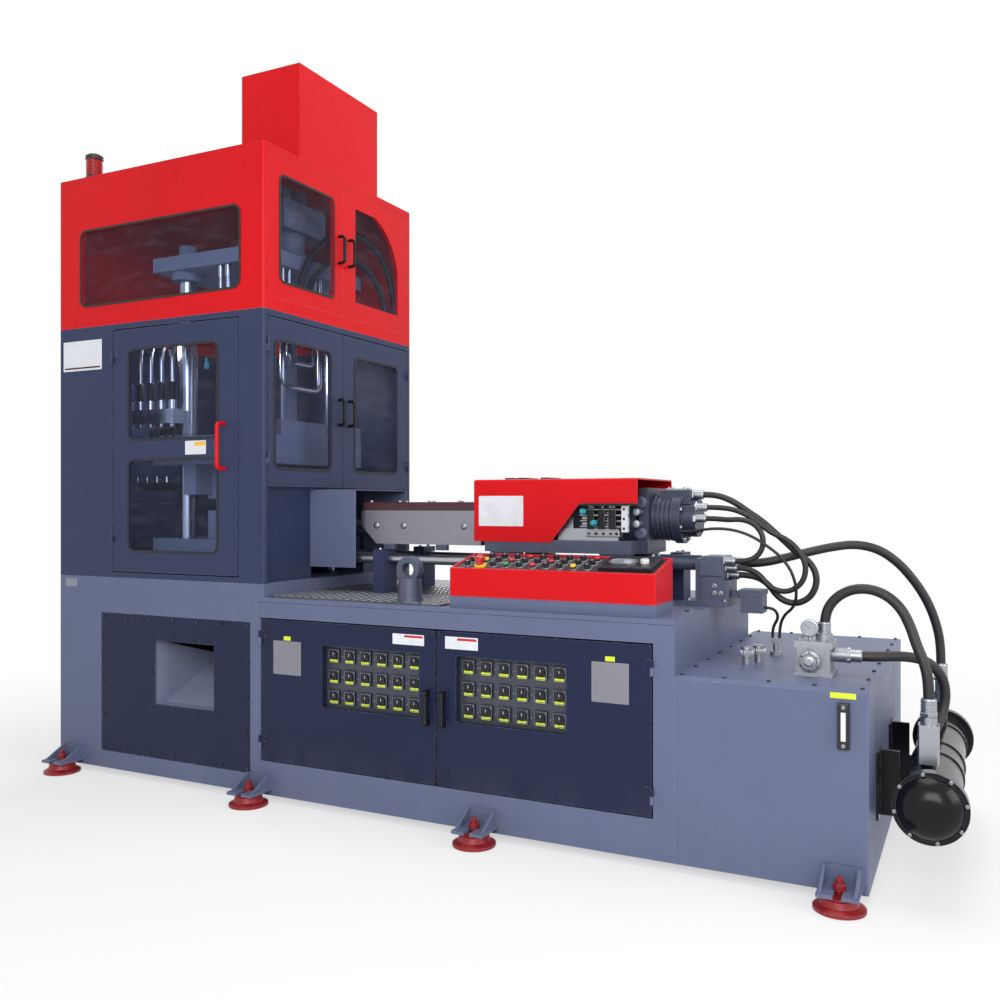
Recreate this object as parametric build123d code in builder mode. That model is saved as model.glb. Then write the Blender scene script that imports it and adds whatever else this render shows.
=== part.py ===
from build123d import *
import math
import os

os.makedirs("parts", exist_ok=True)

# Injection stretch blow moulding machine: tower, bed, injection unit, oil tank and cooler
# Millimetres, +X from the tower to the oil tank, front of the machine at -Y, +Z up, floor at 0

# Driving dimensions of the tower
TOWER_LENGTH = 1312
TOWER_DEPTH = 1217
PLINTH_LENGTH = 1270
PLINTH_TOP = 964
LOWER_TOP = 2202
ROOF_TOP = 2951
TOP_BOX_TOP = 3400
TOP_BOX_LENGTH = 350
TOP_BOX_DEPTH = 646
TOP_BOX_SETBACK = 251
WALL = 22
RED_WALL = 22
ROOF_THICKNESS = 20
SIDE_RECESS = 40

# Driving dimensions of the bed and the tank
BED_LENGTH = 1882
BED_TOP = 904
BED_PLATE = 20
FRAME_BOTTOM = 28
TANK_LENGTH = 659
TANK_DEPTH = 1370
TANK_TOP = 706
TANK_COVER = 12

# Driving dimensions of the cooler and the feet
COOLER_GAP = 64
COOLER_FLANGE_R = 119
COOLER_SHELL_R = 92
COOLER_Z = 328
FOOT_OUT = 75
PAD_R = 85
PAD_TOP = 52
BRACKET_PLATE = 12

# Gaps
DOOR_GAP = 6
SEAM_GAP = 7
SEAT = 0.3

OVERALL_LENGTH = TOWER_LENGTH + BED_LENGTH + TANK_LENGTH + COOLER_GAP + 2 * COOLER_FLANGE_R

# Main planes
LEFT = -OVERALL_LENGTH / 2
FRONT = -TANK_DEPTH / 2
TOWER_RIGHT = LEFT + TOWER_LENGTH
TOWER_BACK = FRONT + TOWER_DEPTH
BED_RIGHT = TOWER_RIGHT + BED_LENGTH
TANK_RIGHT = BED_RIGHT + TANK_LENGTH
TANK_BACK = FRONT + TANK_DEPTH
CENTRE_Y = FRONT + TOWER_DEPTH / 2
BED_LEFT = LEFT + PLINTH_LENGTH
DECK_BOTTOM = BED_TOP


def slab(x0, x1, y0, y1, z0, z1, mode=Mode.ADD):
    """A plain block between two corners."""
    with Locations(((x0 + x1) / 2, (y0 + y1) / 2, (z0 + z1) / 2)):
        Box(x1 - x0, y1 - y0, z1 - z0, mode=mode)


def flat(a0, a1, b0, b1, radius=0, mode=Mode.ADD):
    """A rectangle in the open sketch, between two corners, with round corners if wanted."""
    with Locations(((a0 + a1) / 2, (b0 + b1) / 2)):
        if radius:
            RectangleRounded(a1 - a0, b1 - b0, radius, mode=mode)
        else:
            Rectangle(a1 - a0, b1 - b0, mode=mode)


def front_plane(y):
    """Upright plane that faces the front: sketch x is X, sketch y is Z."""
    return Plane.XZ.offset(-y)


def side_plane(x):
    """Upright plane that faces +X: sketch x is Y, sketch y is Z."""
    return Plane.YZ.offset(x)


def rod_x(x0, x1, y, z, radius, mode=Mode.ADD):
    """A round bar along X."""
    with Locations(Location(((x0 + x1) / 2, y, z), (0, 90, 0))):
        Cylinder(radius, x1 - x0, mode=mode)


def rod_y(x, y0, y1, z, radius, mode=Mode.ADD):
    """A round bar along Y."""
    with Locations(Location((x, (y0 + y1) / 2, z), (90, 0, 0))):
        Cylinder(radius, y1 - y0, mode=mode)


def rod_z(x, y, z0, z1, radius, mode=Mode.ADD):
    """A round bar along Z."""
    with Locations((x, y, (z0 + z1) / 2)):
        Cylinder(radius, z1 - z0, mode=mode)


def save(builder, name, *bolted_on):
    """Labels a finished piece and writes it, with the solids that are bolted on to it."""
    piece = builder.part
    if bolted_on:
        solids = list(piece.solids())
        for other in bolted_on:
            solids.extend(other.part.solids())
        piece = Compound(solids)
    piece.label = name
    export_step(piece, f"parts/{name}.step")


# Hinges: a knuckle on a leaf, half of it on the door and half on the frame
HINGE_R = 7
HINGE_OUT = 8
HINGE_LEAF = 4
HINGE_LEAF_WIDTH = 28
HINGE_HALF = 30
HINGE_EDGE = DOOR_GAP / 2


def front_hinge(x, z, towards, upper):
    """Half a hinge on the front: towards is +1 or -1 along X, upper halves go on the door."""
    z0 = z + SEAT if upper else z - HINGE_HALF
    z1 = z + HINGE_HALF if upper else z - SEAT
    rod_z(x, FRONT - HINGE_OUT, z0, z1, HINGE_R)
    ends = sorted((x + towards * HINGE_EDGE, x + towards * HINGE_LEAF_WIDTH))
    slab(ends[0], ends[1], FRONT - HINGE_LEAF, FRONT, z0, z1)
    webs = sorted((x, x + towards * HINGE_R))
    slab(webs[0], webs[1], FRONT - HINGE_OUT, FRONT - HINGE_LEAF + 1, z0, z1)


def side_hinge(y, z, towards, upper, width=HINGE_LEAF_WIDTH):
    """Half a hinge on the tower's +X side: towards is +1 or -1 along Y."""
    z0 = z + SEAT if upper else z - HINGE_HALF
    z1 = z + HINGE_HALF if upper else z - SEAT
    rod_z(TOWER_RIGHT + HINGE_OUT, y, z0, z1, HINGE_R)
    ends = sorted((y + towards * HINGE_EDGE, y + towards * width))
    slab(TOWER_RIGHT, TOWER_RIGHT + HINGE_LEAF, ends[0], ends[1], z0, z1)
    webs = sorted((y, y + towards * HINGE_R))
    slab(TOWER_RIGHT + HINGE_LEAF - 1, TOWER_RIGHT + HINGE_OUT, webs[0], webs[1], z0, z1)


# Plinth of the tower
PLINTH_WALL = 12
COVER_X0 = LEFT + 290
COVER_X1 = LEFT + 1235
COVER_Z0 = 111
COVER_Z1 = 791
COVER_THICKNESS = 6
COVER_POCKET = 8
CHUTE_X0 = LEFT + 643
CHUTE_X1 = LEFT + 1017
CHUTE_Z0 = 368
CHUTE_Z1 = 672
CHUTE_SHEET = 4
CHUTE_DEPTH = 400
CHUTE_LIP = 50
CHUTE_BACK_LOW = 522
CHUTE_BACK_HIGH = 556
PLINTH_FRONT = 20

with BuildPart() as plinth_walls:
    sheet_back = FRONT + PLINTH_FRONT
    wall_top = DECK_BOTTOM - SEAT
    slab(LEFT, BED_LEFT, FRONT, sheet_back, FRAME_BOTTOM, CHUTE_Z0 - SEAT)
    slab(LEFT, CHUTE_X0, FRONT, sheet_back, CHUTE_Z0, CHUTE_Z1)
    slab(CHUTE_X1, BED_LEFT, FRONT, sheet_back, CHUTE_Z0, CHUTE_Z1)
    slab(LEFT, BED_LEFT, FRONT, sheet_back, CHUTE_Z1 + SEAT, wall_top)
    slab(COVER_X0, COVER_X1, FRONT, FRONT + COVER_POCKET, COVER_Z0, COVER_Z1, mode=Mode.SUBTRACT)
    inner_front = FRONT + PLINTH_FRONT + SEAT
    slab(LEFT, LEFT + PLINTH_WALL, inner_front, TOWER_BACK, FRAME_BOTTOM, wall_top)
    slab(BED_LEFT - PLINTH_WALL, BED_LEFT, inner_front, TOWER_BACK, FRAME_BOTTOM, wall_top)
    rear_x0 = LEFT + PLINTH_WALL + SEAT
    rear_x1 = BED_LEFT - PLINTH_WALL - SEAT
    slab(rear_x0, rear_x1, TOWER_BACK - PLINTH_WALL, TOWER_BACK, FRAME_BOTTOM, wall_top)
    rear_y = TOWER_BACK - PLINTH_WALL - SEAT
    slab(rear_x0, rear_x1, inner_front, rear_y, FRAME_BOTTOM, FRAME_BOTTOM + PLINTH_WALL)
    slab(LEFT, TOWER_RIGHT, FRONT, TOWER_BACK, DECK_BOTTOM, PLINTH_TOP)
save(plinth_walls, "plinth_walls")

with BuildPart() as plinth_cover_panel:
    panel_back = FRONT + COVER_POCKET
    with BuildSketch(front_plane(panel_back)):
        flat(COVER_X0 + 2, COVER_X1 - 2, COVER_Z0 + 2, COVER_Z1 - 2, 6)
        flat(CHUTE_X0, CHUTE_X1, CHUTE_Z0, CHUTE_Z1, mode=Mode.SUBTRACT)
    extrude(amount=COVER_THICKNESS)
save(plinth_cover_panel, "plinth_cover_panel")

# The chute is two side sheets that narrow to the back, with the slide between them
with BuildPart() as discharge_chute:
    chute_front = FRONT + PLINTH_FRONT + SEAT
    chute_back = chute_front + CHUTE_DEPTH
    chute_low = CHUTE_Z0 - CHUTE_SHEET
    for x in (CHUTE_X0 - CHUTE_SHEET, CHUTE_X1):
        with BuildSketch(side_plane(x)):
            with BuildLine():
                Polyline(
                    (chute_front, chute_low),
                    (chute_front + CHUTE_LIP, chute_low),
                    (chute_back, CHUTE_BACK_LOW - CHUTE_SHEET),
                    (chute_back, CHUTE_BACK_HIGH),
                    (chute_front, CHUTE_Z1),
                    close=True,
                )
            make_face()
        extrude(amount=CHUTE_SHEET)
    with BuildSketch(side_plane(CHUTE_X0)):
        with BuildLine():
            Polyline(
                (chute_front, chute_low),
                (chute_front + CHUTE_LIP, chute_low),
                (chute_back, CHUTE_BACK_LOW - CHUTE_SHEET),
                (chute_back, CHUTE_BACK_LOW),
                (chute_front + CHUTE_LIP, CHUTE_Z0),
                (chute_front, CHUTE_Z0),
                close=True,
            )
        make_face()
    extrude(amount=CHUTE_X1 - CHUTE_X0)
save(discharge_chute, "discharge_chute")

# Front guard door of the tower and the wall round it
DOOR_X0 = LEFT + 374
DOOR_X1 = LEFT + 1160
DOOR_Z0 = 995
DOOR_Z1 = 2170
PANE_X0 = LEFT + 477
PANE_X1 = LEFT + 1038
LOW_PANE_Z0 = 1098
LOW_PANE_Z1 = 1533
HIGH_PANE_Z0 = 1633
HIGH_PANE_Z1 = 2068
PANE_CORNER = 32
GLASS = 6
CORNER_RADIUS = 14
FRONT_HINGE_Z = (1166, 2038)
SIDE_DOOR_Z0 = 1403
SIDE_DOOR_Z1 = 2170
SIDE_SEAM = FRONT + 593
SIDE_NEAR = FRONT + WALL + DOOR_GAP
SIDE_FAR = TOWER_BACK - WALL - DOOR_GAP
SIDE_HINGE_Z = (1530, 2040)
NEAR_LEAF_WIDTH = 10.5
FAR_LEAF_WIDTH = 20

door_space_x0 = DOOR_X0 - DOOR_GAP
door_space_x1 = DOOR_X1 + DOOR_GAP
door_space_z0 = DOOR_Z0 - DOOR_GAP
door_space_z1 = DOOR_Z1 + DOOR_GAP
front_axis_x = DOOR_X0 - HINGE_EDGE
near_axis_y = SIDE_NEAR - HINGE_EDGE
far_axis_y = SIDE_FAR + HINGE_EDGE

with BuildPart() as front_wall:
    slab(LEFT, door_space_x0, FRONT, FRONT + WALL, PLINTH_TOP, LOWER_TOP)
    slab(door_space_x1, TOWER_RIGHT, FRONT, FRONT + WALL, PLINTH_TOP, LOWER_TOP)
    corner = front_wall.edges().filter_by(Axis.Z).sort_by_distance((TOWER_RIGHT, FRONT, LOWER_TOP))[0]
    fillet(corner, CORNER_RADIUS)
    sill_x0 = door_space_x0 + SEAT
    sill_x1 = door_space_x1 - SEAT
    slab(sill_x0, sill_x1, FRONT, FRONT + WALL, PLINTH_TOP, door_space_z0)
    slab(sill_x0, sill_x1, FRONT, FRONT + WALL, door_space_z1, LOWER_TOP)
    for z in FRONT_HINGE_Z:
        front_hinge(front_axis_x, z, -1, False)
    for z in SIDE_HINGE_Z:
        side_hinge(near_axis_y, z, -1, False, NEAR_LEAF_WIDTH)
save(front_wall, "front_wall")

# Bow handles: a bar with two returns, bent from one rod
FRONT_HANDLE_X = LEFT + 1088
FRONT_HANDLE_Z0 = 1485
FRONT_HANDLE_Z1 = 1690
HANDLE_REACH = 55
HANDLE_R = 9


def bow_handle(corner_points, radius, normal):
    """A round rod bent through four points, with its first end lying on the plane normal to it."""
    with BuildLine(mode=Mode.PRIVATE) as path:
        FilletPolyline(*corner_points, radius=radius * 2.2)
    section_plane = Plane(corner_points[0], z_dir=normal)
    with BuildSketch(section_plane, mode=Mode.PRIVATE) as section:
        Circle(radius)
    sweep(section.sketch, path.line)


with BuildPart() as front_guard_door:
    with BuildSketch(front_plane(FRONT + WALL)):
        flat(DOOR_X0, DOOR_X1, DOOR_Z0, DOOR_Z1, 6)
        flat(PANE_X0, PANE_X1, LOW_PANE_Z0, LOW_PANE_Z1, PANE_CORNER, Mode.SUBTRACT)
        flat(PANE_X0, PANE_X1, HIGH_PANE_Z0, HIGH_PANE_Z1, PANE_CORNER, Mode.SUBTRACT)
    extrude(amount=WALL)
    for z in FRONT_HINGE_Z:
        front_hinge(front_axis_x, z, 1, True)

with BuildPart() as front_handle:
    front_handle_y = FRONT - HANDLE_REACH
    front_foot_y = FRONT - SEAT
    bow_handle(
        [
            (FRONT_HANDLE_X, front_foot_y, FRONT_HANDLE_Z0),
            (FRONT_HANDLE_X, front_handle_y, FRONT_HANDLE_Z0),
            (FRONT_HANDLE_X, front_handle_y, FRONT_HANDLE_Z1),
            (FRONT_HANDLE_X, front_foot_y, FRONT_HANDLE_Z1),
        ],
        HANDLE_R,
        (0, -1, 0),
    )
save(front_guard_door, "front_guard_door", front_handle)

with BuildPart() as front_door_glass:
    with BuildSketch(front_plane(FRONT + WALL / 2 + GLASS / 2)):
        for z0, z1 in ((LOW_PANE_Z0, LOW_PANE_Z1), (HIGH_PANE_Z0, HIGH_PANE_Z1)):
            flat(PANE_X0 + SEAT, PANE_X1 - SEAT, z0 + SEAT, z1 - SEAT, PANE_CORNER)
    extrude(amount=GLASS)
save(front_door_glass, "front_door_glass")

# Guard doors in the tower's +X side, above the injection opening
SIDE_PANE_Z0 = 1488
SIDE_PANE_Z1 = 2068
NEAR_PANE = (FRONT + 76, FRONT + 496)
FAR_PANE = (FRONT + 696, FRONT + 1090)
SIDE_HANDLE_Z0 = 1716
SIDE_HANDLE_Z1 = 1840
SIDE_HANDLE_OFFSET = 42
SIDE_HANDLE_REACH = 42
SIDE_HANDLE_R = 8
OPENING_Y0 = FRONT + 387
OPENING_Y1 = FRONT + 829
LINTEL_DEPTH = 30
POST = 24

recess_face = TOWER_RIGHT - SIDE_RECESS
side_inner = TOWER_RIGHT - WALL
wall_y0 = FRONT + WALL + SEAT
wall_y1 = TOWER_BACK - WALL - SEAT

with BuildPart() as side_wall:
    lower_top = SIDE_DOOR_Z0 - DOOR_GAP
    slab(recess_face - WALL, recess_face, wall_y0, OPENING_Y0, PLINTH_TOP, lower_top)
    slab(recess_face - WALL, recess_face, OPENING_Y1, wall_y1, PLINTH_TOP, lower_top)
    lintel_z0 = lower_top + SEAT
    slab(
        recess_face - WALL,
        side_inner - DOOR_GAP,
        wall_y0,
        wall_y1,
        lintel_z0,
        lintel_z0 + LINTEL_DEPTH,
    )
    slab(side_inner, TOWER_RIGHT, wall_y0, wall_y1, SIDE_DOOR_Z1 + DOOR_GAP, LOWER_TOP)
save(side_wall, "side_wall")


def side_door(name, y0, y1, pane, axis_y, towards, handle_y):
    """A guard door of the tower's side with its window opening, hinge halves and pull handle."""
    with BuildPart() as door:
        with BuildSketch(side_plane(side_inner)):
            flat(y0, y1, SIDE_DOOR_Z0, SIDE_DOOR_Z1, 6)
            flat(pane[0], pane[1], SIDE_PANE_Z0, SIDE_PANE_Z1, PANE_CORNER, Mode.SUBTRACT)
        extrude(amount=WALL)
        for z in SIDE_HINGE_Z:
            side_hinge(axis_y, z, towards, True)
        reach = TOWER_RIGHT + SIDE_HANDLE_REACH
        bow_handle(
            [
                (TOWER_RIGHT, handle_y, SIDE_HANDLE_Z0),
                (reach, handle_y, SIDE_HANDLE_Z0),
                (reach, handle_y, SIDE_HANDLE_Z1),
                (TOWER_RIGHT, handle_y, SIDE_HANDLE_Z1),
            ],
            SIDE_HANDLE_R,
            (1, 0, 0),
        )
    save(door, name)


def side_glass(name, pane):
    """The glass of a guard door."""
    with BuildPart() as glass:
        with BuildSketch(side_plane(side_inner + WALL / 2 - GLASS / 2)):
            flat(
                pane[0] + SEAT,
                pane[1] - SEAT,
                SIDE_PANE_Z0 + SEAT,
                SIDE_PANE_Z1 - SEAT,
                PANE_CORNER,
            )
        extrude(amount=GLASS)
    save(glass, name)


side_door(
    "side_door_near",
    SIDE_NEAR,
    SIDE_SEAM - SEAM_GAP / 2,
    NEAR_PANE,
    near_axis_y,
    1,
    SIDE_SEAM - SIDE_HANDLE_OFFSET,
)
side_door(
    "side_door_far",
    SIDE_SEAM + SEAM_GAP / 2,
    SIDE_FAR,
    FAR_PANE,
    far_axis_y,
    -1,
    SIDE_SEAM + SIDE_HANDLE_OFFSET,
)
side_glass("side_glass_near", NEAR_PANE)
side_glass("side_glass_far", FAR_PANE)

# Left and rear walls of the grey part
with BuildPart() as back_walls:
    slab(LEFT, LEFT + WALL, wall_y0, TOWER_BACK, PLINTH_TOP, LOWER_TOP)
    rear_face = TOWER_BACK - WALL
    slab(LEFT + WALL + SEAT, TOWER_RIGHT, rear_face, TOWER_BACK, PLINTH_TOP, LOWER_TOP)
    for z in SIDE_HINGE_Z:
        side_hinge(far_axis_y, z, 1, False, FAR_LEAF_WIDTH)
save(back_walls, "back_walls")

# Guard tunnel where the injection barrel enters the tower
GUARD_LENGTH = 224
GUARD_SHEET = 4
GUARD_Z0 = 1022
GUARD_Z1 = 1392

with BuildPart() as nozzle_guard:
    guard_x1 = TOWER_RIGHT + GUARD_LENGTH
    guard_y0 = OPENING_Y0 - GUARD_SHEET
    guard_y1 = OPENING_Y1 + GUARD_SHEET
    guard_under = GUARD_Z1 - GUARD_SHEET
    slab(recess_face, guard_x1, guard_y0, OPENING_Y0, GUARD_Z0, guard_under - SEAT)
    slab(recess_face, guard_x1, OPENING_Y1, guard_y1, GUARD_Z0, guard_under - SEAT)
    slab(recess_face, guard_x1, guard_y0, guard_y1, guard_under, GUARD_Z1)
save(nozzle_guard, "nozzle_guard")

# Red upper housing
RED_PANE = (LEFT + 147, LEFT + 1172, 2308, 2680)
RED_PANE_CORNER = 40
RED_DOOR_Z0 = 2262
RED_DOOR_Z1 = 2914
RED_NEAR_PANE = (FRONT + 111, FRONT + 518, 2341, 2828)
RED_FAR_PANE = (FRONT + 699, FRONT + 1100, 2353, 2833)
RED_ARC_START = FRONT + 877
RED_ARC_END_Z = 2578
RED_ARC_R = 330
RED_HANDLE_Z0 = 2520
RED_HANDLE_Z1 = 2652
SKIN_GAP = 2

with BuildPart() as upper_housing:
    roof_under = ROOF_TOP - ROOF_THICKNESS
    housing_top = roof_under - SEAT
    with BuildSketch(front_plane(FRONT + RED_WALL)):
        flat(LEFT, TOWER_RIGHT, LOWER_TOP, housing_top)
        flat(*RED_PANE, RED_PANE_CORNER, Mode.SUBTRACT)
    extrude(amount=RED_WALL)
    corner = upper_housing.edges().filter_by(Axis.Z).sort_by_distance((TOWER_RIGHT, FRONT, LOWER_TOP))[0]
    fillet(corner, CORNER_RADIUS)
    slab(LEFT, LEFT + RED_WALL, wall_y0, TOWER_BACK, LOWER_TOP, housing_top)
    slab(LEFT + RED_WALL + SEAT, TOWER_RIGHT, TOWER_BACK - RED_WALL, TOWER_BACK, LOWER_TOP, housing_top)
    red_x0 = TOWER_RIGHT - RED_WALL
    slab(red_x0, TOWER_RIGHT, wall_y0, wall_y1, LOWER_TOP, RED_DOOR_Z0 - SEAT)
    slab(red_x0, TOWER_RIGHT, wall_y0, wall_y1, RED_DOOR_Z1 + SKIN_GAP, housing_top)
    slab(LEFT, TOWER_RIGHT, FRONT, TOWER_BACK, roof_under, ROOF_TOP)
    corner = upper_housing.edges().filter_by(Axis.Z).sort_by_distance((TOWER_RIGHT, FRONT, ROOF_TOP))[0]
    fillet(corner, CORNER_RADIUS)
save(upper_housing, "upper_housing")

with BuildPart() as upper_doors:
    red_seam = SIDE_SEAM
    with BuildSketch(side_plane(red_x0)):
        flat(wall_y0 + SKIN_GAP, red_seam - SKIN_GAP / 2, RED_DOOR_Z0, RED_DOOR_Z1)
        flat(*RED_NEAR_PANE, RED_PANE_CORNER, Mode.SUBTRACT)
        flat(red_seam + SKIN_GAP / 2, wall_y1 - SKIN_GAP, RED_DOOR_Z0, RED_DOOR_Z1)
        with BuildLine():
            y0, y1, z0, z1 = RED_FAR_PANE
            Polyline((RED_ARC_START, z1), (y0, z1), (y0, z0), (y1, z0), (y1, RED_ARC_END_Z))
            RadiusArc((y1, RED_ARC_END_Z), (RED_ARC_START, z1), -RED_ARC_R)
        make_face(mode=Mode.SUBTRACT)
    extrude(amount=RED_WALL)
    for y in (red_seam - SIDE_HANDLE_OFFSET, red_seam + SIDE_HANDLE_OFFSET):
        reach = TOWER_RIGHT + SIDE_HANDLE_REACH
        bow_handle(
            [
                (TOWER_RIGHT, y, RED_HANDLE_Z0),
                (reach, y, RED_HANDLE_Z0),
                (reach, y, RED_HANDLE_Z1),
                (TOWER_RIGHT, y, RED_HANDLE_Z1),
            ],
            SIDE_HANDLE_R,
            (1, 0, 0),
        )
save(upper_doors, "upper_doors")

with BuildPart() as upper_glass:
    with BuildSketch(front_plane(FRONT + RED_WALL / 2 + GLASS / 2)):
        x0, x1, z0, z1 = RED_PANE
        flat(x0 + SEAT, x1 - SEAT, z0 + SEAT, z1 - SEAT, RED_PANE_CORNER)
    extrude(amount=GLASS)
    with BuildSketch(side_plane(red_x0 + RED_WALL / 2 - GLASS / 2)):
        y0, y1, z0, z1 = RED_NEAR_PANE
        flat(y0 + SEAT, y1 - SEAT, z0 + SEAT, z1 - SEAT, RED_PANE_CORNER)
        y0, y1, z0, z1 = RED_FAR_PANE
        low_y, high_y, low_z, high_z = y0 + SEAT, y1 - SEAT, z0 + SEAT, z1 - SEAT
        with BuildLine():
            Polyline(
                (RED_ARC_START - SEAT, high_z),
                (low_y, high_z),
                (low_y, low_z),
                (high_y, low_z),
                (high_y, RED_ARC_END_Z - SEAT),
            )
            RadiusArc((high_y, RED_ARC_END_Z - SEAT), (RED_ARC_START - SEAT, high_z), -RED_ARC_R)
        make_face()
    extrude(amount=GLASS)
save(upper_glass, "upper_glass")

# Angle brackets inside the red housing carry the ends of its hoses
BRACKET_Z0 = 2215
BRACKET_Z1 = 2255
BRACKET_X1 = TOWER_RIGHT - RED_WALL
BRACKETS = ((LEFT + 1125, FRONT + 405, FRONT + 530), (LEFT + 1200, FRONT + 1030, FRONT + 1180))

with BuildPart() as hose_brackets:
    for x, y0, y1 in BRACKETS:
        slab(x, BRACKET_X1, y0, y1, BRACKET_Z0, BRACKET_Z1)
save(hose_brackets, "hose_brackets")

# The box on the roof covers the top of the clamp cylinder
TOP_BOX_SHEET = 6

with BuildPart() as top_box:
    box_y0 = FRONT + TOP_BOX_SETBACK
    box_y1 = box_y0 + TOP_BOX_DEPTH
    box_x0 = TOWER_RIGHT - TOP_BOX_LENGTH
    slab(box_x0, TOWER_RIGHT, box_y0, box_y1, ROOF_TOP, TOP_BOX_TOP)
    fillet(top_box.faces().sort_by(Axis.Z)[-1].edges(), TOP_BOX_SHEET)
    slab(
        box_x0 + TOP_BOX_SHEET,
        TOWER_RIGHT - TOP_BOX_SHEET,
        box_y0 + TOP_BOX_SHEET,
        box_y1 - TOP_BOX_SHEET,
        ROOF_TOP,
        TOP_BOX_TOP - TOP_BOX_SHEET,
        Mode.SUBTRACT,
    )
save(top_box, "top_box")

BEACON_X = LEFT + 115
BEACON_Y = FRONT + 110

with BuildPart() as beacon:
    with BuildSketch(front_plane(BEACON_Y)):
        with BuildLine():
            Polyline(
                (BEACON_X, ROOF_TOP),
                (BEACON_X + 46, ROOF_TOP),
                (BEACON_X + 46, ROOF_TOP + 34),
                (BEACON_X + 40, ROOF_TOP + 42),
                (BEACON_X + 40, ROOF_TOP + 122),
                (BEACON_X + 44, ROOF_TOP + 128),
                (BEACON_X + 44, ROOF_TOP + 146),
                (BEACON_X + 30, ROOF_TOP + 156),
                (BEACON_X, ROOF_TOP + 156),
                close=True,
            )
        make_face()
    revolve(axis=Axis((BEACON_X, BEACON_Y, 0), (0, 0, 1)))
save(beacon, "beacon")

# Press inside the tower: four tie bars, three platens, clamp cylinder and rods
TIE_R = 47
TIE_X = (LEFT + 565, LEFT + 1010)
TIE_INSET = 300
TIE_Y = (FRONT + TIE_INSET, TOWER_BACK - TIE_INSET)
TIE_TOP = 2490
PLATEN_X0 = LEFT + 420
PLATEN_X1 = LEFT + 1130
PLATEN_Y0 = FRONT + 200
PLATEN_Y1 = TOWER_BACK - 200
LOW_PLATEN = (1060, 1150)
MID_PLATEN = (1520, 1660)
HIGH_PLATEN = (TIE_TOP, 2560)
FIT = 0.3
MOULD_X0 = LEFT + 670
MOULD_X1 = LEFT + 905
MOULD_Y0 = FRONT + 330
MOULD_Y1 = TOWER_BACK - 330
MOULD_SPLIT = 1290
COLLAR_R = 80
COLLAR_HEIGHT = 42
NUT_R = 44
NUT_HEIGHT = 66
SIDE_BLOCKS = ((FRONT + 345, FRONT + 690), (FRONT + 880, FRONT + 1010))
SIDE_BLOCK_DEPTH = 62
SIDE_BLOCK_HEIGHT = 76
GUIDE_PIPE_X = (LEFT + 850, LEFT + 896)

with BuildPart() as tie_bars:
    for x in TIE_X:
        for y in TIE_Y:
            rod_z(x, y, PLINTH_TOP, TIE_TOP, TIE_R)
save(tie_bars, "tie_bars")

with BuildPart() as platens:
    for z0, z1 in (LOW_PLATEN, MID_PLATEN, HIGH_PLATEN):
        slab(PLATEN_X0, PLATEN_X1, PLATEN_Y0, PLATEN_Y1, z0, z1)
    fillet(platens.edges().filter_by(Axis.Z), 12)
    for x in TIE_X:
        for y in TIE_Y:
            rod_z(x, y, LOW_PLATEN[0], MID_PLATEN[1], TIE_R + FIT, Mode.SUBTRACT)
            rod_z(x, y, TIE_TOP - COLLAR_HEIGHT, TIE_TOP, COLLAR_R)
            rod_z(x, y, TIE_TOP - COLLAR_HEIGHT - 1, TIE_TOP, TIE_R + FIT, Mode.SUBTRACT)
            rod_z(x, y, HIGH_PLATEN[1], HIGH_PLATEN[1] + NUT_HEIGHT, NUT_R)
    slab(MOULD_X0, MOULD_X1, MOULD_Y0, MOULD_Y1, LOW_PLATEN[1], MOULD_SPLIT)
    slab(MOULD_X0, MOULD_X1, MOULD_Y0, MOULD_Y1, MOULD_SPLIT + 60, MID_PLATEN[0])
    block_top = MID_PLATEN[1] + SIDE_BLOCK_HEIGHT
    for y0, y1 in SIDE_BLOCKS:
        slab(PLATEN_X1 - SIDE_BLOCK_DEPTH, PLATEN_X1 - 4, y0, y1, MID_PLATEN[1], block_top)
    slab(TIE_X[0] + TIE_R + 8, TIE_X[0] + 135, PLATEN_Y0 + 15, MOULD_Y0, MID_PLATEN[0] - 150, MID_PLATEN[0])
    rod_z(GUIDE_PIPE_X[0] + 20, PLATEN_Y0 + 28, MID_PLATEN[0] - 120, MID_PLATEN[0], 26)
save(platens, "platens")

CLAMP_X = LEFT + TOWER_LENGTH - TOP_BOX_LENGTH / 2
CLAMP_Y = FRONT + TOP_BOX_SETBACK + TOP_BOX_DEPTH / 2
CLAMP_R = 82
STROKE_ROD_R = 40
CROSSHEAD_Z0 = 2700
CROSSHEAD_Z1 = 2845
CROSSHEAD_POCKET = 8

with BuildPart() as clamp_cylinder:
    stroke_x = CLAMP_X - 150
    rod_z(stroke_x, CLAMP_Y, HIGH_PLATEN[1], CROSSHEAD_Z0, CLAMP_R)
    rod_z(stroke_x, CLAMP_Y, HIGH_PLATEN[1], HIGH_PLATEN[1] + 30, CLAMP_R + 25)
    slab(stroke_x - 105, stroke_x + 105, CLAMP_Y - 165, CLAMP_Y + 165, CROSSHEAD_Z0, CROSSHEAD_Z1)
    with BuildSketch(side_plane(stroke_x + 105 - CROSSHEAD_POCKET)):
        with Locations((CLAMP_Y - 105, (CROSSHEAD_Z0 + CROSSHEAD_Z1) / 2)):
            SlotOverall(86, 34)
    extrude(amount=CROSSHEAD_POCKET + 1, mode=Mode.SUBTRACT)
    for y in (CLAMP_Y - 40, CLAMP_Y + 70):
        rod_z(stroke_x, y, CROSSHEAD_Z1, roof_under, STROKE_ROD_R)
    rod_z(stroke_x, CLAMP_Y, MID_PLATEN[1], HIGH_PLATEN[0], STROKE_ROD_R)
save(clamp_cylinder, "clamp_cylinder")

# Blow station: a block on the middle platen carries five stretch rods in a row
ROD_COUNT = 5
ROD_PITCH = 72
ROD_X0 = LEFT + 322
ROD_Y = FRONT + 150
ROD_Z0 = 1790
ROD_Z1 = 2140
ROD_R = 11

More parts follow.
